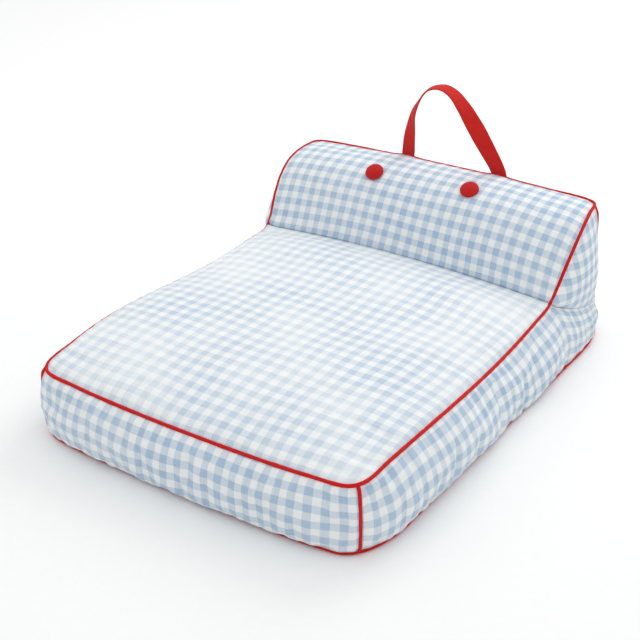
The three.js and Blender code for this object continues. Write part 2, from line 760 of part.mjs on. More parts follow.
const zipFace = backSurface(0, GUSSET_SEAM_REAR_Z).y;
const coilBack = zipFace - CLOTH - GAP;

// Turns a section drawn as (up, rearward) and extruded along its own z to run along the zip
const ALONG_ZIP = new THREE.Matrix4().makeBasis(UP, REARWARD, vec(1, 0, 0));

function zipTape(direction) {
  const half = ZIP_HALF_LENGTH + 4;
  const outline = [
    [ZIP_SLIT, 0.45],
    [ZIP_SLOT_HALF_HEIGHT - 0.5, 0.45],
    [ZIP_SLOT_HALF_HEIGHT + 0.9, 1.4],
    [ZIP_SLOT_HALF_HEIGHT + 9, direction > 0 ? 0.6 : 2.2],
  ];
  const outer = outline.map(([up, drop]) => new THREE.Vector2(direction * up, -drop));
  const inner = outer.map((point) => new THREE.Vector2(point.x, point.y - TAPE_THICKNESS));
  const shape = new THREE.Shape([...outer, ...inner.reverse()]);
  const strip = new THREE.ExtrudeGeometry(shape, { depth: 2 * half, bevelEnabled: false });
  return welded(strip.applyMatrix4(ALONG_ZIP).translate(-half, coilBack, GUSSET_SEAM_REAR_Z));
}

function zipCoil(direction) {
  const [low, high] = [ZIP_SLIT, ZIP_SLIT + 2.1];
  const profile = [
    [low, 0], [high, 0], [high, 1.1],
    [high - 0.7, COIL_HEIGHT], [low + 0.5, COIL_HEIGHT], [low, 1.1],
  ];
  const shape = new THREE.Shape(profile.map(([up, out]) => new THREE.Vector2(direction * up, out)));
  const length = 2 * ZIP_HALF_LENGTH;
  const strip = new THREE.ExtrudeGeometry(shape, { depth: length, bevelEnabled: false, steps: 1 });
  strip.applyMatrix4(ALONG_ZIP);
  return welded(strip.translate(-length / 2, coilBack + COIL_STANDOFF, GUSSET_SEAM_REAR_Z));
}

const SLIDER_X = -ZIP_HALF_LENGTH + 12;
const sliderFace = coilBack + COIL_STANDOFF + COIL_HEIGHT + 0.4;
const pullAxisY = sliderFace + 2.25;
function zipSlider() {
  const z = GUSSET_SEAM_REAR_Z;
  const plate = box(11, 1, 9, SLIDER_X, sliderFace + 0.5, z);
  const under = box(10, 1, 6, SLIDER_X, coilBack - TAPE_THICKNESS - 1.1, z);
  const webDepth = sliderFace - coilBack + TAPE_THICKNESS + 1.6;
  const web = box(4, webDepth, 1, SLIDER_X - 3, sliderFace + 0.5 - webDepth / 2, z);
  const lugs = [-1, 1].map((end) => box(1.2, 3.4, 2.6, SLIDER_X + end * 3.4, sliderFace + 2.3, z));
  const bridge = box(8, 0.9, 2.6, SLIDER_X, sliderFace + 4, z);
  return joined([plate, under, web, ...lugs, bridge]);
}

// A flat tab whose end bar passes under the slider's bridge, with a slot for the bridge beyond it
function zipPull() {
  const shape = new THREE.Shape();
  shape.moveTo(-0.8, -3.4);
  shape.lineTo(8, -3.4);
  shape.absarc(20, 0, 3.2, -Math.PI / 2, Math.PI / 2, false);
  shape.lineTo(8, 3.4);
  shape.lineTo(-0.8, 3.4);
  shape.closePath();
  const slot = new THREE.Path();
  slot.moveTo(0.8, -1.8);
  slot.lineTo(5.2, -1.8);
  slot.lineTo(5.2, 1.8);
  slot.lineTo(0.8, 1.8);
  slot.closePath();
  shape.holes.push(slot);
  const options = { depth: PULL_THICKNESS, bevelEnabled: false, curveSegments: 8 };
  const tab = new THREE.ExtrudeGeometry(shape, options).rotateX(-Math.PI / 2);
  return welded(tab.translate(SLIDER_X, pullAxisY - PULL_THICKNESS / 2, GUSSET_SEAM_REAR_Z));
}

function zipStop(end) {
  const x = end * (ZIP_HALF_LENGTH + 1.8);
  return box(2.4, 2, 6, x, coilBack + 1.4, GUSSET_SEAM_REAR_Z);
}

// ---------------------------------------------------------------- assembly

const FINISHES = {
  gingham: { color: 0xcfdded, roughness: 0.9, metalness: 0 },
  baseCloth: { color: 0xd9d5cc, roughness: 0.95, metalness: 0 },
  liningCloth: { color: 0xf0efec, roughness: 0.95, metalness: 0 },
  piping: { color: 0xcf2a2f, roughness: 0.75, metalness: 0 },
  webbing: { color: 0xc92a33, roughness: 0.8, metalness: 0 },
  buttonCloth: { color: 0xc8262d, roughness: 0.8, metalness: 0 },
  thread: { color: 0xb5272d, roughness: 0.7, metalness: 0 },
  buttonMetal: { color: 0xc9cacc, roughness: 0.35, metalness: 1 },
  zipNylon: { color: 0xf2f2f0, roughness: 0.5, metalness: 0 },
  zipMetal: { color: 0xb9bbbe, roughness: 0.3, metalness: 1 },
};

const bed = new THREE.Group();

function addPiece(name, geometry, finish) {
  const mesh = new THREE.Mesh(geometry, new THREE.MeshStandardMaterial(FINISHES[finish]));
  mesh.name = name;
  bed.add(mesh);
  return mesh;
}

const SIDES = { left: -1, right: 1 };
const seats = Object.fromEntries(
  Object.entries(BUTTON_POSITIONS).map(([name, position]) => [name, buttonSeat(position)]),
);
const allSeats = Object.values(seats);

addPiece('top_panel', topPanel(), 'gingham');
addPiece('backrest_panel', backrestPanel(allSeats), 'gingham');
addPiece('front_panel', frontPanel(), 'gingham');
for (const [name, side] of Object.entries(SIDES)) {
  addPiece(`side_panel_${name}`, sidePanel(side), 'gingham');
  addPiece(`gusset_${name}`, gusset(side), 'gingham');
}
addPiece('back_panel_upper', backPanelUpper(), 'gingham');
addPiece('back_panel_lower', backPanelLower(), 'gingham');
addPiece('bottom_panel', bottomPanel(), 'baseCloth');
addPiece('partition_panel', partitionPanel(), 'liningCloth');

addPiece('piping_upper', upperPiping(), 'piping');
addPiece('piping_lower', lowerPiping(), 'piping');
for (const [name, side] of Object.entries(SIDES)) {
  const front = cornerPiping(frontCorner, side, MATTRESS_SEAM_Z - FLOOR_SEAM_Z, PIPING_JOINT);
  const rear = cornerPiping(rearCorner, side, HEADREST_CORNER_Z - FLOOR_SEAM_Z, PIPING_JOINT + 3);
  addPiece(`piping_corner_front_${name}`, front, 'piping');
  addPiece(`piping_corner_rear_${name}`, rear, 'piping');
}

addPiece('mattress_insert', mattressInsert(), 'liningCloth');
addPiece('headrest_insert', headrestInsert(allSeats), 'liningCloth');
addPiece('handle_strap', handleStrap(), 'webbing');

for (const [name, seat] of Object.entries(seats)) {
  const place = (piece, geometry, finish) => {
    const mesh = addPiece(`button_${piece}_${name}`, geometry, finish);
    mesh.applyMatrix4(seat);
  };
  place('cover', buttonCover(), 'buttonCloth');
  place('shell', buttonShell(), 'buttonMetal');
  place('back_plate', buttonBackPlate(), 'buttonMetal');
  place('thread', buttonThread(), 'thread');
  place('washer', buttonWasher(), 'liningCloth');
}

addPiece('zip_tape_upper', zipTape(1), 'zipNylon');
addPiece('zip_tape_lower', zipTape(-1), 'zipNylon');
addPiece('zip_coil_upper', zipCoil(1), 'zipNylon');
addPiece('zip_coil_lower', zipCoil(-1), 'zipNylon');
addPiece('zip_slider', zipSlider(), 'zipMetal');
addPiece('zip_pull', zipPull(), 'zipMetal');
addPiece('zip_stop_left', zipStop(-1), 'zipMetal');
addPiece('zip_stop_right', zipStop(1), 'zipMetal');

export default bed;
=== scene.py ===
"""Pet cushion bed: a boxed mattress and a wedge headrest in one gingham cover.

Red piping runs round the edges, two covered buttons sit on the headrest, a webbing handle is sewn
into the rear seam and a zip closes the back. Metres, +Z up, +Y towards the headrest.
"""
import math

import bmesh
import bpy
import numpy as np
from mathutils import Matrix, Vector


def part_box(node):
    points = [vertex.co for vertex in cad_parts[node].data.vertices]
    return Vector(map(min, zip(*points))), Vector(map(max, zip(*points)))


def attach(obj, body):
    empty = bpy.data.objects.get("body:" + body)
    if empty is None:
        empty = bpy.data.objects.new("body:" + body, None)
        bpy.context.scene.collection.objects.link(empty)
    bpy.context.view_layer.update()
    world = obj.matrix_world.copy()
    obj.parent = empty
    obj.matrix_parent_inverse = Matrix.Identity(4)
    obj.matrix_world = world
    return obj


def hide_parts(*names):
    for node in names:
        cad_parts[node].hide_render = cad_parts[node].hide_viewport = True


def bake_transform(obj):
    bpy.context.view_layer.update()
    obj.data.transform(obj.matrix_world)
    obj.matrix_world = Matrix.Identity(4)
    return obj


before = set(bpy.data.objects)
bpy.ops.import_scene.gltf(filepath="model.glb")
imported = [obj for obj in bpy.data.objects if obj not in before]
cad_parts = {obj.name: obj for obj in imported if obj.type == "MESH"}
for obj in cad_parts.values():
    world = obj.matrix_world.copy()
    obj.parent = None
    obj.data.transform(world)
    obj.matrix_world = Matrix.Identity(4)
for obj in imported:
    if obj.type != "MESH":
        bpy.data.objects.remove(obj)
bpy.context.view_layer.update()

rng = np.random.default_rng(11)


def middle(node):
    low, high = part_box(node)
    return (low + high) / 2


# Planes that the frame gives
REAR_Y = middle("piping_corner_rear_left").y
CREASE_Y = middle("partition_panel").y
FLOOR_SEAM_Z = middle("piping_lower").z
ZIP_Z = middle("zip_slider").z

# Cover outline
FRONT_Y = -0.317
SEAM_HALF = 0.236
FOOT_FRONT_HALF = 0.2545
FOOT_REAR_HALF = 0.2745
MATTRESS_Z = 0.097
HEADREST_Z = 0.195
LEAN = 0.0035                # the stuffed headrest leans towards the right
TILT = 0.003                 # and stands higher there
CREASE_RISE = 0.011
HEADREST_ARCH = 0.006
GUSSET_REAR_HALF = 0.2505
FRONT_DRAWN_IN = 0.018       # how far the floor seam draws in at its corners
REAR_DRAWN_IN = 0.0205
SIDES = {"left": -1, "right": 1}

# How far each stuffed panel swells past its seams
TOP_CROWN = 0.025
BACKREST_CROWN = 0.013
FRONT_SWELL = 0.017
SIDE_SWELL = 0.020
SIDE_SWELL_REAR = 0.007
GUSSET_SWELL = 0.010
BACK_SWELL = 0.012
ROLL = 0.0020                # the backrest's cloth rolls up this high before the rear seam
ROLL_REACH = 0.011

# Cloth
CHECK = 0.010
CLOTH = 0.0009
BACKREST_HEIGHT = 0.21
GRID = 0.0043                # spacing of the points that make a panel
LOWEST = 0.0003              # nothing lies below this
CRUMPLE = 0.00022            # height of the shallow creases all over a panel
FOLD_LIMIT = 0.003           # the most that filling a panel may fold it
SWELL_LIMIT = 0.002          # and swell it
FILLING_STEPS = 20

# Piping
PIPING_RADIUS = 0.0024
PATH_STEP = 0.003
STITCH_REACH = 0.008         # a panel's edge is drawn onto piping that is nearer than this
SEAM_DIP = 0.0008            # the rear seam lies this much lower behind the cloth's roll
STRAP_PULL = 0.0030          # and the strap's feet pull it up this much

# Strap, buttons and zip
WEBBING_WIDTH = 0.025
WEBBING_THICKNESS = 0.0026
STRAP_FEET = (-0.070, 0.085)
BUTTON_RADIUS = 0.014
BUTTON_LIFT = 0.0006
BUTTONS = {"left": (-0.345, 0.55), "right": (0.285, 0.605)}
BUTTON_NOD = math.radians(7)
ZIP_HALF_LENGTH = 0.190
ZIP_SLOT = 0.0036
ZIP_ROOM = 0.196             # half the width in which the back is straight enough for the zip

# ------------------------------------------------------------------ seams


def point(x, y, z):
    return np.stack(np.broadcast_arrays(x, y, z), -1).astype(float)


def lerp(a, b, t):
    return a + (b - a) * t


def hump(s):
    return 4 * s * (1 - s)


def round_off(a, power):
    return np.sqrt(np.maximum(0, 1 - np.abs(a) ** power))


def share(a):
    return np.clip(a, 0, 1)


def eased(a):
    return a * a * (3 - 2 * a)


def mattress_side_seam(side, s):
    sway = np.sin(2 * np.pi * s)
    out = SEAM_HALF + 0.0023 * s + 0.009 * hump(s) + 0.0029 * sway
    z = MATTRESS_Z - 0.003 * s - 0.0015 * hump(s) + 0.0066 * sway
    return point(side * out, lerp(FRONT_Y, CREASE_Y, s), z)


def front_seam(s):
    y = FRONT_Y - 0.011 * round_off(2 * s - 1, 4)
    return point(lerp(-SEAM_HALF, SEAM_HALF, s), y, MATTRESS_Z - 0.0075 * hump(s))


def crease_seam(s):
    half = SEAM_HALF + 0.0023
    return point(lerp(-half, half, s), CREASE_Y, MATTRESS_Z - 0.003 + CREASE_RISE * hump(s))


def rear_seam(s):
    half = SEAM_HALF - 0.001
    z = HEADREST_Z + lerp(-TILT, TILT, s) + HEADREST_ARCH * (1 - np.abs(2 * s - 1) ** 2.5)
    return point(lerp(-half, half, s) + LEAN, REAR_Y, z)


def rear_seam_z(x):
    return rear_seam(share(0.5 + (x - LEAN) / (2 * SEAM_HALF)))[..., 2]


def headrest_side_seam(side, q):
    """A cubic curve in the y-z plane, from the crease up to the headrest's rear corner."""
    handles = ((CREASE_Y, MATTRESS_Z - 0.003), (CREASE_Y + 0.043, HEADREST_Z - 0.018),
               (CREASE_Y + 0.070, HEADREST_Z + 0.003), (REAR_Y - 0.001, HEADREST_Z + 0.001))
    weights = ((1 - q) ** 3, 3 * q * (1 - q) ** 2, 3 * q * q * (1 - q), q ** 3)
    y = sum(weight * handle[0] for weight, handle in zip(weights, handles))
    z = sum(weight * handle[1] for weight, handle in zip(weights, handles))
    out = SEAM_HALF + 0.0023 - 0.0033 * q + 0.0096 * hump(q)
    return point(side * out + LEAN * q, y, z + side * TILT * q)


def gusset_seam(side, q):
    out = lerp(SEAM_HALF + 0.0023, GUSSET_REAR_HALF, q) + 0.015 * share(hump(q)) ** 0.7
    z = ZIP_Z + (MATTRESS_Z - 0.006 - ZIP_Z) * share(1 - q) ** 1.6
    return point(side * out, lerp(CREASE_Y, REAR_Y, q), z)


def foot_side(side, s):
    front = FRONT_DRAWN_IN * (1 - share(s / 0.11)) ** 2
    rear = REAR_DRAWN_IN * (1 - share((1 - s) / 0.12)) ** 2
    out = lerp(FOOT_FRONT_HALF, FOOT_REAR_HALF, s) - front - rear
    return point(side * out, lerp(FRONT_Y + 0.003, REAR_Y, s), FLOOR_SEAM_Z)


def foot_front(s):
    half = FOOT_FRONT_HALF - FRONT_DRAWN_IN
    y = FRONT_Y + 0.003 - 0.021 * round_off(2 * s - 1, 5)
    return point(lerp(-half, half, s), y, FLOOR_SEAM_Z)


def foot_rear(s):
    half = FOOT_REAR_HALF - REAR_DRAWN_IN
    return point(lerp(-half, half, s), REAR_Y + 0.005 * round_off(2 * s - 1, 4), FLOOR_SEAM_Z)


def front_corner(side, s):
    out = lerp(FOOT_FRONT_HALF - FRONT_DRAWN_IN, SEAM_HALF, s) + 0.003 * hump(s)
    y = lerp(FRONT_Y + 0.003, FRONT_Y, s) - 0.003 * hump(s)
    return point(side * out, y, lerp(FLOOR_SEAM_Z, MATTRESS_Z, s))


def rear_corner(side, s):
    out = FOOT_REAR_HALF - REAR_DRAWN_IN - 0.0155 * s - 0.002 * s ** 12
    return point(side * out + LEAN * s * s, REAR_Y, lerp(FLOOR_SEAM_Z, HEADREST_Z + side * TILT, s))


def rear_corner_x(side, z):
    top = HEADREST_Z + side * TILT
    return rear_corner(side, share((z - FLOOR_SEAM_Z) / (top - FLOOR_SEAM_Z)))[..., 0]


# ------------------------------------------------------------------ panel shapes


def patch(bottom, top, left, right, u, v):
    """A surface between four edges, each a function of 0..1."""
    a, b = u[..., None], v[..., None]
    edges = bottom(u) * (1 - b) + top(u) * b + left(v) * (1 - a) + right(v) * a
    near = bottom(np.array(0.0)) * (1 - a) + bottom(np.array(1.0)) * a
    far = top(np.array(0.0)) * (1 - a) + top(np.array(1.0)) * a
    return edges - near * (1 - b) - far * b


def from_crease(t, reach):
    """Rises from 0 at a panel's edge to 1 at that reach from it."""
    return np.sin(np.pi / 2 * share(t / reach))


def top_shape(u, v):
    grid = patch(front_seam, crease_seam, lambda s: mattress_side_seam(-1, s),
                 lambda s: mattress_side_seam(1, s), u, v)
    front = round_off(np.minimum(2 * v - 1, 0), 4)
    grid[..., 2] += TOP_CROWN * round_off(2 * u - 1, 4) * front * from_crease(1 - v, 0.2)
    return grid


def backrest_shape(u, v):
    grid = patch(crease_seam, rear_seam, lambda q: headrest_side_seam(-1, q),
                 lambda q: headrest_side_seam(1, q), u, v)
    swell = BACKREST_CROWN * round_off(2 * u - 1, 4)
    swell = swell * from_crease(1 - v, 0.65) * from_crease(v, 0.45)
    tilt = lerp(0.6, 1.2, v)
    grid[..., 1] -= swell * np.cos(tilt)
    grid[..., 2] += swell * np.sin(tilt)
    below_seam = (1 - v) * BACKREST_HEIGHT
    roll = ROLL * along_rear(grid[..., 0]) * soft_bulge(below_seam, ROLL_REACH)
    grid[..., 1] += 0.25 * roll
    grid[..., 2] += roll
    return grid


def along_rear(x):
    """1 along the middle of the rear seam, fading to 0 before its corners."""
    return share((x + 0.185) / 0.06) ** 2 * share((0.222 - x) / 0.05) ** 2


def soft_bulge(distance, reach):
    """A bulge of cloth that stands highest at that reach from its seam."""
    return distance / reach * np.exp(1 - distance / reach)


def front_shape(u, v):
    grid = patch(foot_front, front_seam, lambda s: front_corner(-1, s),
                 lambda s: front_corner(1, s), u, v)
    grid[..., 1] -= FRONT_SWELL * round_off(2 * u - 1, 3) * round_off(2 * v - 1, 3)
    return grid


def side_shape(side, u, v):
    y = lerp(FRONT_Y, REAR_Y, u)
    on_mattress = mattress_side_seam(side, share((y - FRONT_Y) / (CREASE_Y - FRONT_Y)))
    on_gusset = gusset_seam(side, share((y - CREASE_Y) / (REAR_Y - CREASE_Y)))
    upper = np.where((y < CREASE_Y)[..., None], on_mattress, on_gusset)
    grid = lerp(foot_side(side, u), upper, v[..., None])
    rearward = share((y - CREASE_Y + 0.060) / 0.120)
    swell = lerp(SIDE_SWELL, SIDE_SWELL_REAR, rearward) * round_off(2 * u - 1, 8)
    grid[..., 0] += side * swell * lerp(hump(v), hump(v) ** 0.72, (1 - v) ** 2)
    front = (1 - share(u / 0.06))[..., None] ** 2
    rear = (1 - share((1 - u) / 0.06))[..., None] ** 2
    grid += front * (front_corner(side, v) - side_edge(side, 0, v))
    return grid + rear * (rear_corner(side, v * share(ZIP_Z / HEADREST_Z)) - side_edge(side, 1, v))


def side_edge(side, end, v):
    """Where the side panel's flat layout would end, before it is drawn onto the corner seam."""
    if end == 0:
        upper = mattress_side_seam(side, np.array(0.0))
    else:
        upper = gusset_seam(side, np.array(1.0))
    return lerp(foot_side(side, np.array(float(end))), upper, v[..., None])


def gusset_shape(side, u, v):
    above = headrest_side_seam(side, share(0.25 * u + 0.75 * u ** 1.4))
    grid = lerp(gusset_seam(side, u), above, v[..., None])
    grid[..., 0] += side * hump(v) * (GUSSET_SWELL * round_off(2 * u - 1, 4) + 0.002 * u ** 6)
    return grid


def back_shape(x, z):
    v = share((z - FLOOR_SEAM_Z) / (rear_seam_z(x) - FLOOR_SEAM_Z))
    half = rear_corner_x(1, z)
    level = share((np.abs(x) - ZIP_ROOM) / (half - ZIP_ROOM))
    foot = foot_rear(share(0.5 + x / (2 * half)))[..., 1]
    swell = BACK_SWELL * hump(v) ** 0.8 * round_off(level, 2)
    return point(x, lerp(foot, REAR_Y, v) + swell, z)


def zip_slot(x):
    """Half the height of the slot above and below the zip."""
    return ZIP_SLOT * share((ZIP_HALF_LENGTH + 0.0025 - np.abs(x)) / 0.003)


def back_part(low, high, u, v):
    """One part of the back, between two heights that may depend on x."""
    x = lerp(-1, 1, u) * SEAM_HALF
    z = lerp(low(x), high(x), v)
    edge = np.where(u < 0.5, -rear_corner_x(-1, z), rear_corner_x(1, z))
    return back_shape(lerp(-1, 1, u) * edge, z)


# ------------------------------------------------------------------ meshes


def lay_out(rows, columns, wraps, loops):
    """Corner indices of each quad in a grid, as two arrays: the row and the column."""
    i, j = np.mgrid[0:rows if loops else rows - 1, 0:columns if wraps else columns - 1]
    row = np.stack([i, i, i + 1, i + 1], -1).reshape(-1, 4)
    column = np.stack([j, j + 1, j + 1, j], -1).reshape(-1, 4)
    return row, column


def make_piece(name, grid, uv, material, wraps=False, loops=False):
    """A mesh from a grid of points. uv has a column or row more where the grid closes on itself."""
    rows, columns = grid.shape[:2]
    row, column = lay_out(rows, columns, wraps, loops)
    faces = (row % rows) * columns + column % columns
    mesh = bpy.data.meshes.new(name)
    mesh.from_pydata(grid.reshape(-1, 3).tolist(), [], faces.tolist())
    layer = mesh.uv_layers.new(name="weave")
    layer.data.foreach_set("uv", uv[row, column].astype(np.float32).ravel())
    mesh.materials.append(material)
    mesh.polygons.foreach_set("use_smooth", [True] * len(mesh.polygons))
    piece = bpy.data.objects.new(name, mesh)
    bpy.context.scene.collection.objects.link(piece)
    return piece


def settle(piece):
    """Applies the piece's modifiers."""
    bpy.context.view_layer.update()
    depsgraph = bpy.context.evaluated_depsgraph_get()
    final = piece.evaluated_get(depsgraph)
    mesh = bpy.data.meshes.new_from_object(
        final, preserve_all_data_layers=True, depsgraph=depsgraph)
    piece.modifiers.clear()
    piece.data = mesh


def thicken(piece, thickness, inward=True, rounds=1):
    """Gives a sheet its thickness, after making its mesh finer that many times."""
    finer = piece.modifiers.new("finer", "SUBSURF")
    finer.levels = rounds
    finer.render_levels = rounds
    shell = piece.modifiers.new("cloth thickness", "SOLIDIFY")
    shell.thickness = thickness
    shell.offset = -1 if inward else 0
    settle(piece)
    for vertex in piece.data.vertices:
        vertex.co.z = max(vertex.co.z, LOWEST)


def lengths(grid, axis):
    """Distance along the grid's rows or columns from their middle."""
    step = np.linalg.norm(np.diff(grid, axis=axis), axis=-1)
    total = np.cumsum(step, axis=axis)
    first = np.zeros_like(np.take(total, [0], axis=axis))
    total = np.concatenate([first, total], axis=axis)
    return total - np.take(total, [total.shape[axis] // 2], axis=axis)


def drift(uv):
    """Slow wander of the weave, as cloth shears when it is stuffed."""
    size, wavelength = 0.0006, 0.13
    moved = uv.copy()
    for _ in range(5):
        angle = rng.uniform(0, 2 * np.pi)
        phase = rng.uniform(0, 2 * np.pi, 2)
        turn = 2 * np.pi / (wavelength * rng.uniform(0.7, 1.6))
        along = (uv[..., 0] * math.cos(angle) + uv[..., 1] * math.sin(angle)) * turn
        moved[..., 0] += size * np.sin(along + phase[0])
        moved[..., 1] += size * np.sin(along + phase[1])
    return moved


def weave_map(grid, upright):
    """Flat cloth coordinates in metres, with the checks parallel to the panel's edges.

    An upright panel's yarns stand straight up between its two long seams.
    """
    u, v = lengths(grid, 1), lengths(grid, 0)
    if upright:
        u = np.broadcast_to(u.mean(0), u.shape)
    span = (v[-1] - v[0])[None, :]
    v = (v - v[0][None, :]) / np.maximum(span, 1e-6) * span.mean()
    return drift(np.stack([u, v], -1))


def normals(grid):
    across = np.gradient(grid, axis=1)
    up = np.gradient(grid, axis=0)
    facing = np.cross(across, up)
    return facing / np.maximum(np.linalg.norm(facing, axis=-1, keepdims=True), 1e-12)


def blurred(field, passes):
    for _ in range(passes):
        for axis in (0, 1):
            ends = [(1, 1) if k == axis else (0, 0) for k in range(field.ndim)]
            padded = np.pad(field, ends, mode="edge")
            low = np.take(padded, range(0, field.shape[axis]), axis=axis)
            high = np.take(padded, range(2, field.shape[axis] + 2), axis=axis)
            field = (low + 2 * field + high) / 4
    return field


def gathers(grid, edges):
    """Small ridges square to the seams, where the cloth is eased onto the piping.

    edges gives each edge its (height, reach): how tall the ridges are and how far they run in.
    """
    u, v = lengths(grid, 1), lengths(grid, 0)
    distance = {"left": u - u[:, :1], "right": u[:, -1:] - u,
                "bottom": v - v[:1], "top": v[-1:] - v}
    rise = np.zeros(u.shape)
    for edge, (height, reach) in edges.items():
        along = v if edge in ("left", "right") else u
        fade = distance[edge] / reach
        bell = np.exp(-fade ** 1.5) * share(fade * 6)
        ridges = np.zeros(u.shape)
        for wavelength in (0.013, 0.018, 0.025, 0.036):
            bend = 0.3 * np.sin(distance[edge] / 0.035 + rng.uniform(0, 6.3))
            strength = 0.6 + 0.4 * np.sin(along * rng.uniform(18, 40) + rng.uniform(0, 6.3))
            turn = 2 * np.pi * along / (wavelength * rng.uniform(0.92, 1.08))
            ridges += strength * np.sin(turn + bend + rng.uniform(0, 6.3))
        rise += height * bell * ridges / 2
    inner = share(np.minimum.reduce(list(distance.values())) / 0.02)
    for wavelength in (0.028, 0.041, 0.066, 0.09):
        angle = rng.uniform(0, np.pi)
        slant = (u * math.cos(angle) + v * math.sin(angle)) * 2 * np.pi / wavelength
        crease = np.sin(slant + rng.uniform(0, 6.3) + 1.5 * np.sin(u * 23 + v * 17))
        rise += CRUMPLE * inner * crease
    return rise


# ------------------------------------------------------------------ piping


def smooth_path(points, spacing, closed=False):
    """Centripetal Catmull-Rom curve through the points, sampled at even spacing."""
    p = np.asarray(points, float)
    if closed:
        p = np.concatenate([p[-1:], p, p[:2]])
    else:
        p = np.concatenate([2 * p[:1] - p[1:2], p, 2 * p[-1:] - p[-2:-1]])
    fine = []
    for a, b, c, d in zip(p[:-3], p[1:-2], p[2:-1], p[3:]):
        t1 = max(np.linalg.norm(b - a), 1e-9) ** 0.5
        t2 = t1 + max(np.linalg.norm(c - b), 1e-9) ** 0.5
        t3 = t2 + max(np.linalg.norm(d - c), 1e-9) ** 0.5
        t = np.linspace(t1, t2, 24, endpoint=False)[:, None]
        ab = (t1 - t) / t1 * a + t / t1 * b
        bc = (t2 - t) / (t2 - t1) * b + (t - t1) / (t2 - t1) * c
        cd = (t3 - t) / (t3 - t2) * c + (t - t2) / (t3 - t2) * d
        abc = (t2 - t) / t2 * ab + t / t2 * bc
        bcd = (t3 - t) / (t3 - t1) * bc + (t - t1) / (t3 - t1) * cd
        fine.append((t2 - t) / (t2 - t1) * abc + (t - t1) / (t2 - t1) * bcd)
    fine.append(p[-2][None])
    fine = np.concatenate(fine)
    run = np.concatenate([[0], np.cumsum(np.linalg.norm(np.diff(fine, axis=0), axis=1))])
    count = max(3, round(run[-1] / spacing))
    at = np.linspace(0, run[-1], count + 1)
    if closed:
        at = at[:-1]
    return np.stack([np.interp(at, run, fine[:, k]) for k in range(3)], -1)


def edge_points(edge, start, end, count):
    return edge(np.linspace(start, end, count + 1))


def foot_outline():
    return np.concatenate([
        edge_points(foot_rear, 0.52, 0.97, 6),
        edge_points(lambda s: foot_side(1, s), 0.985, 0.015, 16),
        edge_points(foot_front, 0.97, 0.03, 12),
        edge_points(lambda s: foot_side(-1, s), 0.015, 0.985, 16),
        edge_points(foot_rear, 0.03, 0.48, 6),
    ])


def upper_outline():
    return np.concatenate([
        edge_points(rear_seam, 0.52, 0.97, 5),
        edge_points(lambda q: headrest_side_seam(1, q), 0.96, 0.06, 6),
        edge_points(lambda s: mattress_side_seam(1, s), 0.985, 0.02, 10),
        edge_points(front_seam, 0.975, 0.025, 9),
        edge_points(lambda s: mattress_side_seam(-1, s), 0.02, 0.985, 10),
        edge_points(lambda q: headrest_side_seam(-1, q), 0.06, 0.96, 6),
        edge_points(rear_seam, 0.03, 0.48, 5),
    ])


def lifted_at_strap(path):
    """The rear seam dips behind the cloth's roll, and the strap's two feet hold it up."""
    lifted = path.copy()
    at_rear = path[:, 1] > REAR_Y - 0.004
    lifted[:, 2] -= SEAM_DIP * along_rear(path[:, 0]) * at_rear
    for foot in STRAP_FEET:
        pull = np.exp(-((path[:, 0] - foot) / 0.016) ** 2)
        lifted[:, 2] += STRAP_PULL * pull * at_rear
    return lifted


def corner_path(corner, side, loops):
    """Up one corner, its ends bent into the loops above and below."""
    middle_part = corner(side, np.linspace(0.09, 0.91, 8))
    ends = [nearest(loop, corner(side, np.array(s))) for s, loop in zip((0.0, 1.0), loops)]
    return smooth_path(np.concatenate([ends[0][None], middle_part, ends[1][None]]), PATH_STEP)


def nearest(path, place):
    return path[np.argmin(np.linalg.norm(path - place, axis=1))]


def rings_along(path, closed):
    """Two directions square to the path at each point, turning as little as they can."""
    if closed:
        tangent = np.roll(path, -1, 0) - np.roll(path, 1, 0)
    else:
        tangent = np.gradient(path, axis=0)
    tangent /= np.linalg.norm(tangent, axis=1, keepdims=True)
    start = np.cross(tangent[0], (0.3, 0.2, 0.93))
    side = [start / np.linalg.norm(start)]
    for ahead in tangent[1:]:
        flat = side[-1] - ahead * (side[-1] @ ahead)
        side.append(flat / np.linalg.norm(flat))
    side = np.array(side)
    if closed:
        left_over = math.atan2(np.cross(side[-1], side[0]) @ tangent[0], side[-1] @ side[0])
        angle = np.linspace(0, left_over, len(path))[:, None]
        side = side * np.cos(angle) + np.cross(tangent, side) * np.sin(angle)
    return side, np.cross(tangent, side)


def round_cord(name, path, radius, material, closed=False, sides=14, lumps=0.05):
    """A round cord. Piping bulges and flattens a little along its length."""
    across, up = rings_along(path, closed)
    step = np.linalg.norm(np.diff(path, axis=0), axis=1)
    run = np.concatenate([[0], np.cumsum(step)])
    swell = np.ones(len(path))
    for wavelength in (0.011, 0.019, 0.037, 0.083):
        turns = max(1, round(run[-1] / wavelength))
        swell += lumps / 2 * np.sin(2 * np.pi * turns * run / run[-1] + rng.uniform(0, 6.3))
    angle = np.arange(sides) * 2 * np.pi / sides
    cosine, sine = np.cos(angle)[None, :, None], np.sin(angle)[None, :, None]
    ring = cosine * across[:, None] + sine * up[:, None]
    grid = path[:, None] + radius * swell[:, None, None] * ring
    grid[..., 2] = np.maximum(grid[..., 2], LOWEST)
    rows = len(path) + (1 if closed else 0)
    along = np.linspace(0, run[-1] * rows / len(path), rows)
    uv = np.stack(np.meshgrid(np.arange(sides + 1) / sides * 2 * np.pi * radius, along), -1)
    return make_piece(name, grid, uv, material, wraps=True, loops=closed)


# ------------------------------------------------------------------ stuffed panels

TO_FILL = []


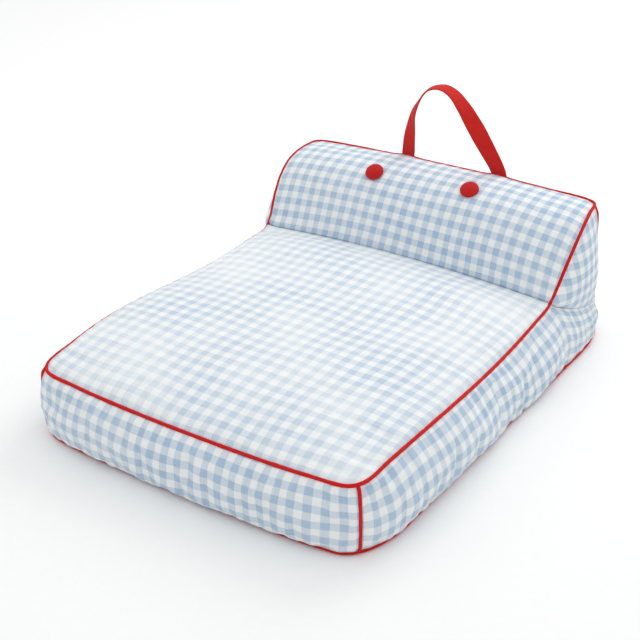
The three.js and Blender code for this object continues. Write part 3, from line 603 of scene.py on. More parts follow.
def panel(name, shape, size, material, edges, held=(), upright=False, flat_map=False):
    """One panel of the cover, as a grid of about GRID spacing between its seams."""
    columns, rows = (max(5, round(length / GRID)) + 1 for length in size)
    u, v = np.meshgrid(np.linspace(0, 1, columns), np.linspace(0, 1, rows))
    grid = sewn(shape(u, v))
    uv = weave_map(grid, upright)
    if flat_map:
        uv = drift(grid[..., 1:] - grid[0, 0, 1:])
    outward = outward_normals(grid)
    grid = grid + outward * gathers(grid, edges)[..., None]
    if np.sum(np.cross(grid[0, 1] - grid[0, 0], grid[1, 0] - grid[0, 0]) * outward[0, 0]) < 0:
        grid, uv = grid[:, ::-1], uv[:, ::-1]
    piece = make_piece(name + "_cloth", grid, uv, material)
    pinned = np.zeros(grid.shape[:2])
    pinned[[0, -1]] = 1
    pinned[:, [0, -1]] = 1
    for place, radius in held:
        gap = np.linalg.norm(grid - place, axis=-1)
        pinned = np.maximum(pinned, gap < radius)
    TO_FILL.append((piece, grid, pinned))
    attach(piece, "cover")
    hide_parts(name)


def outward_normals(grid):
    facing = normals(grid)
    inside = np.array([0, np.clip(grid[..., 1].mean(), -0.2, 0.26), 0.05])
    outside = np.sum((grid - inside) * facing, axis=-1).mean()
    return facing if outside > 0 else -facing


def to_piping(edge):
    """How far each point of a panel's edge has to move to lie on the piping beside it."""
    gap = np.linalg.norm(edge[:, None] - PIPING[None], axis=-1)
    near = PIPING[gap.argmin(1)] - edge
    return near * (gap.min(1) < STITCH_REACH)[:, None]


def sewn(grid):
    """Draws the panel's edges onto the piping that runs past them."""
    rows, columns = grid.shape[:2]
    a = np.linspace(0, 1, columns)[None, :, None]
    b = np.linspace(0, 1, rows)[:, None, None]
    bottom, top = to_piping(grid[0])[None], to_piping(grid[-1])[None]
    left, right = to_piping(grid[:, 0])[:, None], to_piping(grid[:, -1])[:, None]
    fade = 10
    moved = grid + bottom * (1 - b) ** fade + top * b ** fade
    moved += left * (1 - a) ** fade + right * a ** fade
    moved[[0, -1], 1:-1] = (grid + bottom * (b == 0) + top * (b == 1))[[0, -1], 1:-1]
    for j, k in ((0, left), (-1, right)):
        moved[:, j] = grid[:, j] + k[:, 0]
    return moved


def fill_panels():
    """Cloth simulation: air pressure fills the panels, whose cloth is a little too big for its seams.

    The folds and the slow swell are each capped, as the filling holds the shape.
    """
    for piece, _, pinned in TO_FILL:
        group = piece.vertex_groups.new(name="seams")
        for index in np.flatnonzero(pinned.ravel()):
            group.add([int(index)], 1, "REPLACE")
        cloth = piece.modifiers.new("filling", "CLOTH")
        cloth.settings.quality = 6
        cloth.settings.mass = 0.05
        cloth.settings.tension_stiffness = 25
        cloth.settings.compression_stiffness = 25
        cloth.settings.shear_stiffness = 8
        cloth.settings.bending_stiffness = 0.05
        cloth.settings.air_damping = 4
        cloth.settings.use_pressure = True
        cloth.settings.uniform_pressure_force = 4
        cloth.settings.effector_weights.gravity = 0
        cloth.settings.vertex_group_mass = "seams"
        cloth.settings.shrink_min = -0.05
        cloth.collision_settings.use_collision = False
    for number in range(1, FILLING_STEPS + 1):
        bpy.context.scene.frame_set(number)
    depsgraph = bpy.context.evaluated_depsgraph_get()
    for piece, grid, pinned in TO_FILL:
        mesh = piece.evaluated_get(depsgraph).data
        places = np.zeros(grid.size, np.float32)
        mesh.vertices.foreach_get("co", places)
        moved = places.reshape(grid.shape) - grid
        slow = blurred(moved, 26)
        folds = moved - slow
        depth = np.linalg.norm(folds, axis=-1, keepdims=True)
        folds *= share(FOLD_LIMIT / np.maximum(depth, 1e-9))
        reach = np.linalg.norm(slow, axis=-1, keepdims=True)
        slow *= np.tanh(reach / SWELL_LIMIT) * SWELL_LIMIT / np.maximum(reach, 1e-9)
        result = grid + (folds + slow) * (1 - pinned[..., None])
        piece.modifiers.remove(piece.modifiers["filling"])
        piece.vertex_groups.clear()
        piece.data.vertices.foreach_set("co", result.astype(np.float32).ravel())
        piece.data.update()
    bpy.context.scene.frame_set(1)


# ------------------------------------------------------------------ finishes


def linear(colour):
    """An sRGB hex colour as linear RGBA."""
    parts = [int(colour[k:k + 2], 16) / 255 for k in (1, 3, 5)]
    return [c / 12.92 if c <= 0.04045 else ((c + 0.055) / 1.055) ** 2.4 for c in parts] + [1]


def add(tree, kind, inputs=(), output=0, **settings):
    """Adds a node with its settings and gives back one of its outputs.

    Inputs come in socket order, or as a dict by socket. Each is a value, or an output to link.
    """
    made = tree.nodes.new("ShaderNode" + kind)
    for key, value in settings.items():
        setattr(made, key, value)
    for key, value in inputs.items() if isinstance(inputs, dict) else enumerate(inputs):
        if isinstance(value, bpy.types.NodeSocket):
            tree.links.new(value, made.inputs[key])
        else:
            made.inputs[key].default_value = value
    return made.outputs[output]


def new_finish(name, roughness, sheen=0.0, metallic=0.0, ior=1.5, gloss=0.15):
    material = bpy.data.materials.new(name)
    material.use_nodes = True
    tree = material.node_tree
    shader = tree.nodes["Principled BSDF"]
    shader.inputs["Roughness"].default_value = roughness
    shader.inputs["Metallic"].default_value = metallic
    shader.inputs["IOR"].default_value = ior
    shader.inputs["Sheen Weight"].default_value = sheen
    shader.inputs["Sheen Roughness"].default_value = 0.5
    shader.inputs["Specular IOR Level"].default_value = 0.5 if metallic else gloss
    return material, tree, shader


def dress(tree, shader, colour, height, depth):
    """Links a colour and a height in 0..1 that stands for depth metres of relief."""
    bump = add(tree, "Bump", {"Height": height, "Distance": depth, "Strength": 1.0})
    tree.links.new(colour, shader.inputs["Base Color"])
    tree.links.new(bump, shader.inputs["Normal"])


def cloth_axes(tree):
    """Distances along the two sets of yarns, in metres."""
    place = add(tree, "UVMap", uv_map="weave")
    return place, add(tree, "SeparateXYZ", [place]), add(tree, "SeparateXYZ", [place], output=1)


def ripple(tree, distance, spacing):
    """0..1 waves at that spacing."""
    turn = add(tree, "Math", [distance, 2 * math.pi / spacing], operation="MULTIPLY")
    wave = add(tree, "Math", [turn], operation="SINE")
    return add(tree, "Math", [wave, 0.5, 0.5], operation="MULTIPLY_ADD")


def slubby_yarns(tree, place, stretch):
    """Uneven yarns: noise drawn out by the lengths in stretch, in metres."""
    pulled = add(tree, "Mapping", {"Vector": place, "Scale": [1 / length for length in stretch]})
    return add(tree, "TexNoise", {"Vector": pulled, "Scale": 1.0, "Detail": 2.0, "Roughness": 0.6})


def plain_weave(tree, u, v, yarn):
    """Height of a plain weave, yarns over and under in turn."""
    next_u = add(tree, "Math", [u, yarn], operation="ADD")
    next_v = add(tree, "Math", [v, yarn], operation="ADD")
    crossings = []
    for across, up in ((u, v), (next_u, next_v)):
        waves = [ripple(tree, across, 2 * yarn), ripple(tree, up, 2 * yarn)]
        crossings.append(add(tree, "Math", waves, operation="MULTIPLY"))
    return add(tree, "Math", crossings, operation="ADD")


def gingham_cotton(name, least_painted_wash, most_painted_wash):
    """Yarn-dyed plain-weave cotton: blue and white yarns in 10 mm bands both ways.

    Where bands cross, the blue shows full, half or not at all. Slubby yarns streak the colour, and
    the soft hand of washed cotton gives it a dull face with a light bloom at grazing angles. Real
    yarns are 0.25 mm apart and are drawn at 0.9 mm, so that they show. Large noise patches mix it
    towards white, painted patches of light, between the least and the most of that painted wash.
    """
    material, tree, shader = new_finish(name, 0.85, sheen=0.22, gloss=0.2)
    place, u, v = cloth_axes(tree)
    warp = slubby_yarns(tree, place, (0.0011, 0.05, 1))
    weft = slubby_yarns(tree, place, (0.05, 0.0011, 1))
    bands = []
    for distance, yarn in ((u, warp), (v, weft)):
        ragged = add(tree, "Math", [yarn, 0.0012, distance], operation="MULTIPLY_ADD")
        turn = add(tree, "Math", [ragged, math.pi / CHECK], operation="MULTIPLY")
        wave = add(tree, "Math", [turn], operation="SINE")
        band = add(tree, "MapRange", {"Value": wave, "From Min": -0.17, "From Max": 0.17},
                   interpolation_type="SMOOTHSTEP")
        streak = add(tree, "Math", [yarn, 0.9, 0.50], operation="MULTIPLY_ADD")
        bands.append(add(tree, "Math", [band, streak], operation="MULTIPLY"))
    both = add(tree, "Math", bands, operation="ADD")
    blue = add(tree, "Math", [both, 0.5], operation="MULTIPLY")
    dyed = add(tree, "Mix", {0: blue, 6: linear("#f2f5f4"), 7: linear("#a5c0da")},
               output=2, data_type="RGBA")
    # painted patches of light: large noise patches mix the colour towards white
    patches = add(tree, "TexNoise", {"Vector": place, "Scale": 7.0, "Detail": 2.0})
    fade = add(tree, "MapRange", {"Value": patches, "From Min": 0.35, "From Max": 0.65,
                                  "To Min": least_painted_wash, "To Max": most_painted_wash})
    colour = add(tree, "Mix", {0: fade, 6: dyed, 7: linear("#f8faf9")}, output=2, data_type="RGBA")
    crumple = add(tree, "TexNoise", {"Vector": place, "Scale": 70.0, "Detail": 4.0,
                                     "Roughness": 0.55, "Distortion": 0.6})
    weave = plain_weave(tree, u, v, 0.0009)
    height = add(tree, "Math", [weave, 0.22, crumple], operation="MULTIPLY_ADD")
    for stretch in ((0.007, 0.05, 1), (0.05, 0.007, 1)):
        puckers = slubby_yarns(tree, place, stretch)
        height = add(tree, "Math", [puckers, 0.9, height], operation="MULTIPLY_ADD")
    slubs = add(tree, "Math", [warp, weft], operation="ADD")
    height = add(tree, "Math", [slubs, 0.2, height], operation="MULTIPLY_ADD")
    dress(tree, shader, colour, height, 0.0011)
    return material


def bias_piping():
    """Red cotton tape cut on the bias and sewn over a cord: its yarns run slantwise round it.

    The weave's valleys are painted darker and its ridges paler, painted shade, and noise patches
    vary the red at random like wear. The ridges are drawn at 1.4 mm, coarser than real yarns, so that
    they show.
    """
    material, tree, shader = new_finish("bias_cut_piping_cotton", 0.72, sheen=0.05)
    place, u, v = cloth_axes(tree)
    slant = add(tree, "Math", [u, v], operation="ADD")
    back = add(tree, "Math", [u, v], operation="SUBTRACT")
    ridges = [ripple(tree, slant, 0.0014), ripple(tree, back, 0.0014)]
    lines = add(tree, "Math", ridges, operation="MULTIPLY")
    patchy = add(tree, "TexNoise", {"Vector": place, "Scale": 120.0, "Detail": 3.0})
    worn = add(tree, "Math", [patchy, 0.5], operation="MULTIPLY")
    # painted shade: the colour follows the weave, darker in its valleys and paler on its ridges
    tone = add(tree, "Math", [lines, 0.55, worn], operation="MULTIPLY_ADD")
    colour = add(tree, "Mix", {0: tone, 6: linear("#c00a10"), 7: linear("#ee2a24")},
                 output=2, data_type="RGBA")
    height = add(tree, "Math", [patchy, 0.8, lines], operation="MULTIPLY_ADD")
    dress(tree, shader, colour, height, 0.0003)
    return material


def strap_webbing():
    """Red cotton webbing: a close ribbed weave with a herringbone face and firm selvedges.

    The herringbone is 3.2 mm wide; its 1.7 mm ribs are drawn coarser than real, so that they show.
    """
    material, tree, shader = new_finish("woven_webbing", 0.78, sheen=0.05)
    place, u, v = cloth_axes(tree)
    fold = add(tree, "Math", [u, 0.0032], operation="PINGPONG")
    slanted = add(tree, "Math", [fold, v], operation="ADD")
    ribs = ripple(tree, slanted, 0.0017)
    picks = ripple(tree, v, 0.0011)
    off_centre = add(tree, "Math", [u], operation="ABSOLUTE")
    selvedge = add(tree, "Math", [off_centre, WEBBING_WIDTH / 2 - 0.0022],
                   operation="GREATER_THAN")
    face = add(tree, "Math", [selvedge, -0.6, 1.0], operation="MULTIPLY_ADD")
    height = add(tree, "Math", [ribs, face], operation="MULTIPLY")
    height = add(tree, "Math", [picks, 0.25, height], operation="MULTIPLY_ADD")
    worn = add(tree, "TexNoise", {"Vector": place, "Scale": 90.0, "Detail": 4.0})
    worn = add(tree, "Math", [worn, 0.5], operation="MULTIPLY")
    # painted shade: the colour follows the weave's height, darker in its grooves and on the lower
    # selvedges
    tone = add(tree, "Math", [height, 0.5, worn], operation="MULTIPLY_ADD")
    colour = add(tree, "Mix", {0: tone, 6: linear("#bc1014"), 7: linear("#ee3128")},
                 output=2, data_type="RGBA")
    dress(tree, shader, colour, height, 0.0004)
    return material


def button_twill():
    """Red cotton twill stretched over a button: slanted ridges, drawn at 1.5 mm so that they show."""
    material, tree, shader = new_finish("button_cotton_twill", 0.75, sheen=0.05)
    place, u, v = cloth_axes(tree)
    ridges = ripple(tree, add(tree, "Math", [u, v], operation="ADD"), 0.0015)
    cross = ripple(tree, add(tree, "Math", [u, v], operation="SUBTRACT"), 0.0011)
    patchy = add(tree, "TexNoise", {"Vector": place, "Scale": 200.0, "Detail": 3.0})
    worn = add(tree, "Math", [patchy, 0.5], operation="MULTIPLY")
    height = add(tree, "Math", [cross, 0.35, ridges], operation="MULTIPLY_ADD")
    # painted shade: the colour follows the twill's height, darker in its grooves
    tone = add(tree, "Math", [height, 0.4, worn], operation="MULTIPLY_ADD")
    colour = add(tree, "Mix", {0: tone, 6: linear("#b40e14"), 7: linear("#e62c2c")},
                 output=2, data_type="RGBA")
    dress(tree, shader, colour, height, 0.00035)
    return material


def gripping_base_cloth():
    """Greige polyester canvas with rows of clear rubber dots 4 mm apart, so that the bed stays put."""
    material, tree, shader = new_finish("dotted_non_slip_canvas", 0.85)
    place, u, v = cloth_axes(tree)
    rows = [ripple(tree, u, 0.008), ripple(tree, v, 0.008)]
    lattice = add(tree, "Math", rows, operation="MULTIPLY")
    dots = add(tree, "MapRange", {"Value": lattice, "From Min": 0.55, "From Max": 0.75},
               interpolation_type="SMOOTHSTEP")
    weave = plain_weave(tree, u, v, 0.0008)
    shade = add(tree, "TexNoise", {"Vector": place, "Scale": 60.0, "Detail": 4.0})
    canvas = add(tree, "Mix", {0: shade, 6: linear("#c9c4b8"), 7: linear("#e2ded4")},
                 output=2, data_type="RGBA")
    rubber = add(tree, "Math", [dots, 0.6], operation="MULTIPLY")
    colour = add(tree, "Mix", {0: rubber, 6: canvas, 7: linear("#f1f1ec")},
                 output=2, data_type="RGBA")
    height = add(tree, "Math", [weave, 0.2, dots], operation="MULTIPLY_ADD")
    dress(tree, shader, colour, height, 0.0005)
    return material


def speckled(name, roughness, scale, detail, dark, pale, depth, **gloss):
    """A finish whose grain alone shades it between two colours."""
    material, tree, shader = new_finish(name, roughness, **gloss)
    place = add(tree, "TexCoord", output="Object")
    grain = add(tree, "TexNoise", {"Vector": place, "Scale": scale, "Detail": detail})
    colour = add(tree, "Mix", {0: grain, 6: linear(dark), 7: linear(pale)},
                 output=2, data_type="RGBA")
    dress(tree, shader, colour, grain, depth)
    return material


def lining_cotton():
    """Bleached cotton sheeting: a plain weave with faint slubs and soft creases."""
    material, tree, shader = new_finish("bleached_lining_cotton", 0.9, sheen=0.1)
    place = add(tree, "TexCoord", output="Object")
    slubs = add(tree, "TexNoise", {"Vector": place, "Scale": 420.0, "Detail": 3.0})
    crease = add(tree, "TexNoise", {"Vector": place, "Scale": 30.0, "Detail": 4.0})
    colour = add(tree, "Mix", {0: slubs, 6: linear("#e9e7e1"), 7: linear("#f8f7f3")},
                 output=2, data_type="RGBA")
    height = add(tree, "Math", [slubs, 0.2, crease], operation="MULTIPLY_ADD")
    dress(tree, shader, colour, height, 0.0015)
    return material


def nickel_zinc():
    """Die-cast zinc with bright nickel plate: mirror-like, with light rub marks."""
    material, tree, shader = new_finish("nickel_plated_zinc", 0.22, metallic=1.0)
    place = add(tree, "TexCoord", output="Object")
    rub = add(tree, "TexNoise", {"Vector": place, "Scale": 700.0, "Detail": 5.0})
    haze = add(tree, "MapRange", {"Value": rub, "To Min": 0.16, "To Max": 0.38})
    tree.links.new(haze, shader.inputs["Roughness"])
    colour = add(tree, "Mix", {0: rub, 6: linear("#c2bfb8"), 7: linear("#d9d7d2")},
                 output=2, data_type="RGBA")
    dress(tree, shader, colour, rub, 0.00004)
    return material


def zip_tape_cloth():
    """White polyester zip tape: a dense herringbone with a corded edge."""
    material, tree, shader = new_finish("woven_zip_tape", 0.7)
    place, u, v = cloth_axes(tree)
    fold = add(tree, "Math", [v, 0.0024], operation="PINGPONG")
    bone = ripple(tree, add(tree, "Math", [fold, u], operation="ADD"), 0.0012)
    shade = add(tree, "TexNoise", {"Vector": place, "Scale": 250.0, "Detail": 3.0})
    shade = add(tree, "Math", [shade, 0.5], operation="MULTIPLY")
    # painted shade: the colour follows the herringbone, darker in its grooves
    tone = add(tree, "Math", [bone, 0.4, shade], operation="MULTIPLY_ADD")
    colour = add(tree, "Mix", {0: tone, 6: linear("#dcdcda"), 7: linear("#f7f7f5")},
                 output=2, data_type="RGBA")
    dress(tree, shader, colour, bone, 0.0003)
    return material


GINGHAM = gingham_cotton("woven_gingham_cotton", 0.0, 0.12)
# The top panel has a paler copy of the same cloth: a painted wash of light, mixed further towards
# white in large patches
GINGHAM_WITH_PAINTED_WASH = gingham_cotton("gingham_cotton_with_painted_wash", 0.22, 0.62)
PIPING_TAPE = bias_piping()
WEBBING = strap_webbing()
TWILL = button_twill()
BASE = gripping_base_cloth()
LINING = lining_cotton()
# Spun polyester, a little shiny: the specks in its colour are painted glints, for its two twisted
# plies catching the light
THREAD = speckled("twisted_sewing_thread", 0.55, 900.0, 2.0, "#9c1820", "#cf3238", 0.0002)
# Pressed aluminium of a button form: slightly dull, with fine tool marks
ALUMINIUM = speckled("pressed_aluminium", 0.38, 300.0, 4.0, "#c3c5c8", "#dcdedf", 0.00008,
                     metallic=1.0)
NICKEL = nickel_zinc()
ZIP_TAPE = zip_tape_cloth()
# Seamless white paper of the studio: nearly flat, with a faint tooth
PAPER = speckled("white_backdrop_paper", 0.95, 80.0, 3.0, "#f8f8f7", "#fcfcfb", 0.0001)
# Nylon filament wound into a coil: smooth and slightly waxy
NYLON = speckled("wound_nylon_filament", 0.35, 500.0, 2.0, "#e6e6e2", "#fafaf7", 0.0001, ior=1.53)

# ------------------------------------------------------------------ camera

CAMERA_AIM = Vector((-0.0623, 0.0673, 0.0374))
CAMERA_DISTANCE = 1.9
CAMERA_AZIMUTH = math.radians(32.69)
CAMERA_ELEVATION = math.radians(29.27)


def place_camera():
    back = Vector((
        math.sin(CAMERA_AZIMUTH) * math.cos(CAMERA_ELEVATION),
        -math.cos(CAMERA_AZIMUTH) * math.cos(CAMERA_ELEVATION),
        math.sin(CAMERA_ELEVATION),
    ))
    camera = bpy.data.objects.new("camera", bpy.data.cameras.new("camera"))
    camera.data.lens = 73.5
    camera.data.sensor_width = 36
    camera.location = CAMERA_AIM + back * CAMERA_DISTANCE
    camera.rotation_mode = "QUATERNION"
    camera.rotation_quaternion = (-back).to_track_quat("-Z", "Y")
    bpy.context.scene.collection.objects.link(camera)
    bpy.context.scene.camera = camera


# ------------------------------------------------------------------ pieces


def make_piping():
    """All the piping, and every point of its centre lines for the panels to be sewn to."""
    upper = lifted_at_strap(smooth_path(upper_outline(), PATH_STEP, closed=True))
    lower = smooth_path(foot_outline(), PATH_STEP, closed=True)
    paths = {"piping_upper": upper, "piping_lower": lower}
    for name, side in SIDES.items():
        paths[f"piping_corner_front_{name}"] = corner_path(front_corner, side, (lower, upper))
        paths[f"piping_corner_rear_{name}"] = corner_path(rear_corner, side, (lower, upper))
    for name, path in paths.items():
        closed = name in ("piping_upper", "piping_lower")
        piece = round_cord(name + "_tape", path, PIPING_RADIUS, PIPING_TAPE, closed)
        if not closed:
            close_ends(piece)
        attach(piece, "cover")
        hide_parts(name)
    return np.concatenate(list(paths.values()))


def close_ends(piece):
    """Fills the open ends of a tube, or the open middle of a ring."""
    work = bmesh.new()
    work.from_mesh(piece.data)
    open_edges = [edge for edge in work.edges if edge.is_boundary]
    bmesh.ops.holes_fill(work, edges=open_edges, sides=0)
    bmesh.ops.recalc_face_normals(work, faces=work.faces)
    work.to_mesh(piece.data)
    work.free()


PIPING = make_piping()


def on_backrest(across, up):
    """A button's place on the backrest, and the way it faces: the cloth's, nodding to the front."""
    step = 1e-3
    u, v = (across + 1) / 2, up
    here, right, above = (backrest_shape(np.array([[a]]), np.array([[b]]))[0]
                          for a, b in ((u, v), (u + step, v), (u, v + step)))
    out = np.cross(right[0] - here[0], above[0] - here[0])
    out = Vector(out / np.linalg.norm(out))
    out.rotate(Matrix.Rotation(BUTTON_NOD, 3, "X"))
    return here[0], out


def make_cover():
    seats = {name: on_backrest(*position) for name, position in BUTTONS.items()}
    held = [(place, BUTTON_RADIUS * 0.8) for place, _ in seats.values()]
    soft = {"left": (0.0011, 0.07), "right": (0.0015, 0.10), "bottom": (0.0010, 0.03)}
    panel("top_panel", top_shape, (0.48, 0.52), GINGHAM_WITH_PAINTED_WASH, {**soft, "top": (0.0009, 0.03)})
    panel("backrest_panel", backrest_shape, (0.48, BACKREST_HEIGHT), GINGHAM,
          {"left": (0.0010, 0.04), "right": (0.0011, 0.04), "bottom": (0.0011, 0.03),
           "top": (0.0006, 0.03)}, held=held)
    panel("front_panel", front_shape, (0.48, 0.10), GINGHAM,
          {"bottom": (0.0008, 0.03), "top": (0.0008, 0.02)}, upright=True)
    for name, side in SIDES.items():
        panel(f"side_panel_{name}", lambda u, v: side_shape(side, u, v), (0.65, 0.10), GINGHAM,
              {"bottom": (0.0019, 0.06), "top": (0.0012, 0.035)}, upright=True)
        panel(f"gusset_{name}", lambda u, v: gusset_shape(side, lerp(0.003, 1, u), v),
              (0.14, 0.13), GINGHAM, {"top": (0.0006, 0.02)}, flat_map=True)
    panel("back_panel_upper",
          lambda u, v: back_part(lambda x: ZIP_Z + zip_slot(x), rear_seam_z, u, v),
          (0.49, 0.15), GINGHAM, {"top": (0.0006, 0.03)})
    panel("back_panel_lower",
          lambda u, v: back_part(lambda x: FLOOR_SEAM_Z + 0 * x, lambda x: ZIP_Z - zip_slot(x), u, v),
          (0.49, 0.05), GINGHAM, {"bottom": (0.0007, 0.03)})
    fill_panels()
    for piece, _, _ in TO_FILL:
        thicken(piece, CLOTH)
    return seats


def make_base():
    """The flat underside, drawn in rings from the floor seam to its middle."""
    outline = smooth_path(foot_outline(), 0.006, closed=True)
    shares = np.array([1.0, 0.985, 0.97, 0.94, 0.88, 0.78, 0.64, 0.48, 0.3, 0.1])[:, None, None]
    middle_point = outline.mean(0)
    grid = middle_point + (outline[None] - middle_point) * shares
    lift = np.array([FLOOR_SEAM_Z, 0.0012, 0.0007] + [0.0006] * 7)[:, None]
    grid[..., 2] = lift
    wrapped = np.concatenate([grid, grid[:, :1]], axis=1)
    piece = make_piece("bottom_cloth", grid, wrapped[..., :2], BASE, wraps=True)
    close_ends(piece)
    shell = piece.modifiers.new("cloth thickness", "SOLIDIFY")
    shell.thickness = 0.0005
    shell.offset = 0
    settle(piece)
    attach(piece, "cover")
    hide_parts("bottom_panel")


def make_partition():
    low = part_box("partition_panel")[0].z
    u, v = np.meshgrid(np.linspace(0.012, 0.988, 60), np.linspace(0, 1, 14))
    top = crease_seam(u)
    foot = point(lerp(-1, 1, u) * (FOOT_REAR_HALF - 0.012), CREASE_Y, low)
    top[..., 2] -= 0.0045
    grid = lerp(foot, top, v[..., None] ** 0.8)
    grid[..., 1] += 0.0004 * np.sin(u * 41) * hump(v)
    piece = make_piece("partition_cloth", grid, grid[..., [0, 2]], LINING)
    thicken(piece, 0.0005, inward=False)
    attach(piece, "cover")
    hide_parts("partition_panel")


def make_insert(name, node):
    """A stuffed inner cushion: the CAD body remeshed and softened."""
    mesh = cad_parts[node].data.copy()
    piece = bpy.data.objects.new(name, mesh)
    bpy.context.scene.collection.objects.link(piece)
    remesh = piece.modifiers.new("even skin", "REMESH")
    remesh.mode = "VOXEL"
    remesh.voxel_size = 0.008
    remesh.use_smooth_shade = True
    ease = piece.modifiers.new("soft edges", "SMOOTH")
    ease.factor = 0.5
    ease.iterations = 4
    settle(piece)
    piece.data.materials.clear()
    piece.data.materials.append(LINING)
    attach(piece, "cover")
    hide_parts(node)


def strap_path():
    """The strap's centre line, from the left foot over the arch to the right foot."""
    base = rear_seam(np.array(0.5))[2] + PIPING_RADIUS + 0.002
    arch = ((-70, 0), (-68, 28), (-66, 51), (-60, 74), (-50, 95), (-35, 111), (-17, 116),
            (5, 108), (21, 91), (42, 64), (62, 36), (76, 17), (85, 0))
    points = [(x / 1000, REAR_Y, base + rise / 1000) for x, rise in arch]
    return smooth_path(points, PATH_STEP)


def strap_twist(t):
    """The strap stands edge-on to the seam at its feet and lies flat over the top of the arch."""
    left, top, right = math.radians(-14), math.radians(-90), math.radians(4)
    rising, falling = share(t / 0.45), share((1 - t) / 0.55)
    return np.where(t < 0.45, lerp(left, top, eased(rising)), lerp(right, top, eased(falling)))


def make_strap():
    path = strap_path()
    t = np.linspace(0, 1, len(path))
    tangent = np.gradient(path, axis=0)
    tangent[0], tangent[-1] = (0, 0, 1), (0, 0, -1)
    tangent /= np.linalg.norm(tangent, axis=1, keepdims=True)
    turn = strap_twist(t)
    flat = np.stack([tangent[:, 2], 0 * t, -tangent[:, 0]], -1)
    across = flat * np.cos(turn)[:, None] + np.stack([0 * t, np.sin(turn), 0 * t], -1)
    through = np.cross(tangent, across)
    foot = np.array([[0, 0.0008, -0.010], [0, 0.0004, -0.005]])
    path = np.concatenate([path[:1] + foot, path, path[-1:] + foot[::-1]])
    across, through = (np.concatenate([a[:1], a[:1], a, a[-1:], a[-1:]])
                       for a in (across, through))
    angle = np.arange(24) * 2 * np.pi / 24
    half_width, half_thickness = WEBBING_WIDTH / 2, WEBBING_THICKNESS / 2
    wide = np.sign(np.cos(angle)) * np.abs(np.cos(angle)) ** 0.55 * half_width
    thick = np.sign(np.sin(angle)) * np.abs(np.sin(angle)) ** 0.35 * half_thickness
    sway = 0.0004 * np.sin(np.linspace(0, 47, len(path)))[:, None, None]
    grid = path[:, None] + across[:, None] * wide[None, :, None] + through[:, None] * (
        thick[None, :, None] + sway)
    run = np.concatenate([[0], np.cumsum(np.linalg.norm(np.diff(path, axis=0), axis=1))])
    uv = np.stack(np.meshgrid(np.append(wide, wide[0]), run), -1)
    piece = make_piece("handle_webbing", grid, uv, WEBBING, wraps=True)
    close_ends(piece)
    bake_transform(piece)
    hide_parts("handle_strap")


def make_button(name, seat):
    """A domed cloth cover, gathered in small folds under its rim."""
    place, out = seat
    turn = np.arange(64) * 2 * np.pi / 64
    dome = [(BUTTON_RADIUS * math.sin(a), 0.0026 + 0.0074 * math.cos(a))
            for a in np.linspace(0.02, math.pi / 2, 12)]
    under = [(0.01390, 0.0019), (0.01370, 0.0012), (0.01340, 0.0007), (0.0128, 0.0004),
             (0.0122, 0.0002), (0.0119, 0.0002)]
    profile = np.array(dome + under)
    folds = np.linspace(0, 1, len(profile))[:, None] ** 6
    radius = profile[:, :1] + folds * 0.0002 * np.sin(turn * 19)[None]
    height = profile[:, 1:] + 0 * turn[None] + BUTTON_LIFT
    local = np.stack([radius * np.cos(turn), height, radius * np.sin(turn)], -1)
    rotation = np.array(Vector((0, 1, 0)).rotation_difference(Vector(out)).to_matrix())
    grid = local @ rotation.T + place
    flat = local[..., [0, 2]]
    uv = np.concatenate([flat, flat[:, :1]], axis=1)
    piece = make_piece(f"button_cloth_{name}", grid, uv, TWILL, wraps=True)
    close_crown(piece)
    shell = piece.modifiers.new("cloth thickness", "SOLIDIFY")
    shell.thickness = 0.0006
    shell.offset = -1
    settle(piece)
    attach(piece, "cover")
    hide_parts(f"button_cover_{name}")


def close_crown(piece):
    """Fills the small ring at the crown of a dome."""
    work = bmesh.new()
    work.from_mesh(piece.data)
    ring = [edge for edge in work.edges if edge.is_boundary and edge.calc_length() < 0.0002]
    bmesh.ops.holes_fill(work, edges=ring, sides=0)
    bmesh.ops.recalc_face_normals(work, faces=work.faces)
    work.to_mesh(piece.data)
    work.free()


def make_zip():
    coil_low, coil_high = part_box("zip_coil_upper")
    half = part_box("zip_tape_upper")[1].x
    for name, way in (("upper", 1), ("lower", -1)):
        section = np.array([(0.0009, 0.45), (0.0030, 0.45), (0.0038, 0.9), (0.0048, 1.4),
                            (0.0085, 1.1), (0.0126, 0.7 if way > 0 else 2.1)])
        v, x = np.meshgrid(np.linspace(0, 5, 16), np.linspace(-half, half, 260), indexing="ij")
        up = np.interp(v, range(6), section[:, 0])
        drop = np.interp(v, range(6), section[:, 1]) * 0.001
        grid = point(x, coil_low.y - 0.00035 - drop, ZIP_Z + way * up)
        tape = make_piece(f"zip_tape_cloth_{name}", grid, np.stack([x, up], -1), ZIP_TAPE)
        thicken(tape, 0.0006, rounds=0)
        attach(tape, "cover")
        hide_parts(f"zip_tape_{name}")
        make_coil(name, way, (coil_low.y + coil_high.y) / 2)


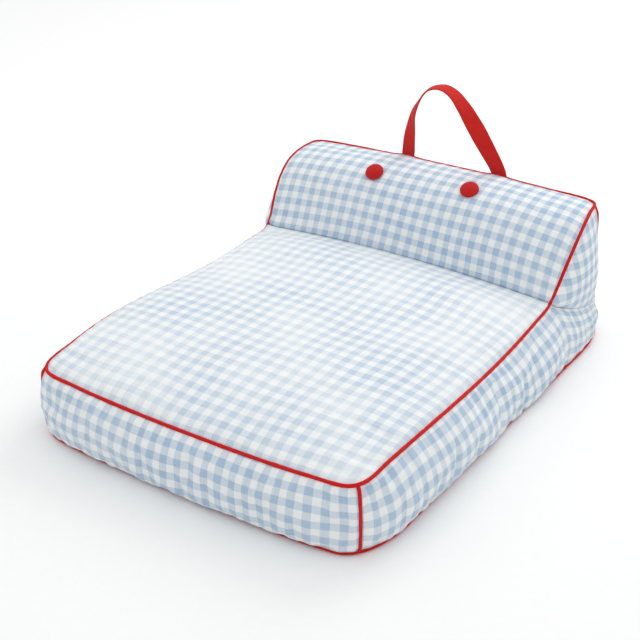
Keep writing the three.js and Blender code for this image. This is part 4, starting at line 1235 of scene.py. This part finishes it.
def make_coil(name, way, centre_y):
    """A continuous filament wound along the tape's edge, its loops meshing with the other one's."""
    pitch, filament = 0.0015, 0.0003
    turns = 2 * ZIP_HALF_LENGTH / pitch
    angle = np.arange(0, turns, 1 / 12) * 2 * np.pi
    x = -ZIP_HALF_LENGTH + angle / (2 * np.pi) * pitch + (0.5 * pitch if way < 0 else 0)
    z = ZIP_Z + way * (0.00155 + 0.00115 * np.cos(angle))
    path = point(x, centre_y + 0.0005 * np.sin(angle), z)
    coil = round_cord(f"zip_coil_filament_{name}", path, filament, NYLON, sides=6, lumps=0)
    close_ends(coil)
    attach(coil, "cover")
    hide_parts(f"zip_coil_{name}")


def dress_frame_pieces():
    """The small hard pieces keep their CAD shape with their own finishes; the zip's slider, pull and
    stops get softened edges.
    """
    finishes = {"button_shell": ALUMINIUM, "button_back_plate": ALUMINIUM,
                "button_thread": THREAD, "button_washer": LINING,
                "zip_s": NICKEL, "zip_pull": NICKEL}
    for name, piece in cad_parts.items():
        for start, finish in finishes.items():
            if name.startswith(start):
                piece.data.materials.clear()
                piece.data.materials.append(finish)
        if name in ("zip_slider", "zip_pull", "zip_stop_left", "zip_stop_right"):
            edge = piece.modifiers.new("cast edges", "BEVEL")
            edge.width = 0.00025
            edge.segments = 3


def make_studio():
    floor = make_piece("floor", *floor_grid(), PAPER)
    world = bpy.data.worlds.new("studio")
    bpy.context.scene.world = world
    world.use_nodes = True
    background = world.node_tree.nodes["Background"]
    background.inputs["Color"].default_value = linear("#fafbfc")
    background.inputs["Strength"].default_value = 0.67
    soft_light("white ceiling", (-0.5, 1.0, 2.5), (-0.5, 1.0, 0), 8, 82)
    soft_light("window behind", (0.1, 1.5, 1.4), (0, -0.05, 0.12), 1.2, 9)
    bpy.context.scene.view_settings.view_transform = "Standard"


def floor_grid():
    x, y = np.meshgrid(np.linspace(-6, 6, 13), np.linspace(-5, 9, 15))
    return point(x, y, 0 * x), np.stack([x, y], -1)


def soft_light(name, place, aim, size, watts):
    lamp = bpy.data.lights.new(name, "AREA")
    lamp.size = size
    lamp.energy = watts
    light = bpy.data.objects.new(name, lamp)
    light.location = place
    light.rotation_mode = "QUATERNION"
    light.rotation_quaternion = (Vector(aim) - Vector(place)).to_track_quat("-Z", "Y")
    bpy.context.scene.collection.objects.link(light)


place_camera()
button_seats = make_cover()
make_base()
make_partition()
make_insert("mattress_filling", "mattress_insert")
make_insert("headrest_filling", "headrest_insert")
make_strap()
for button_name, button_seat in button_seats.items():
    make_button(button_name, button_seat)
make_zip()
dress_frame_pieces()
make_studio()
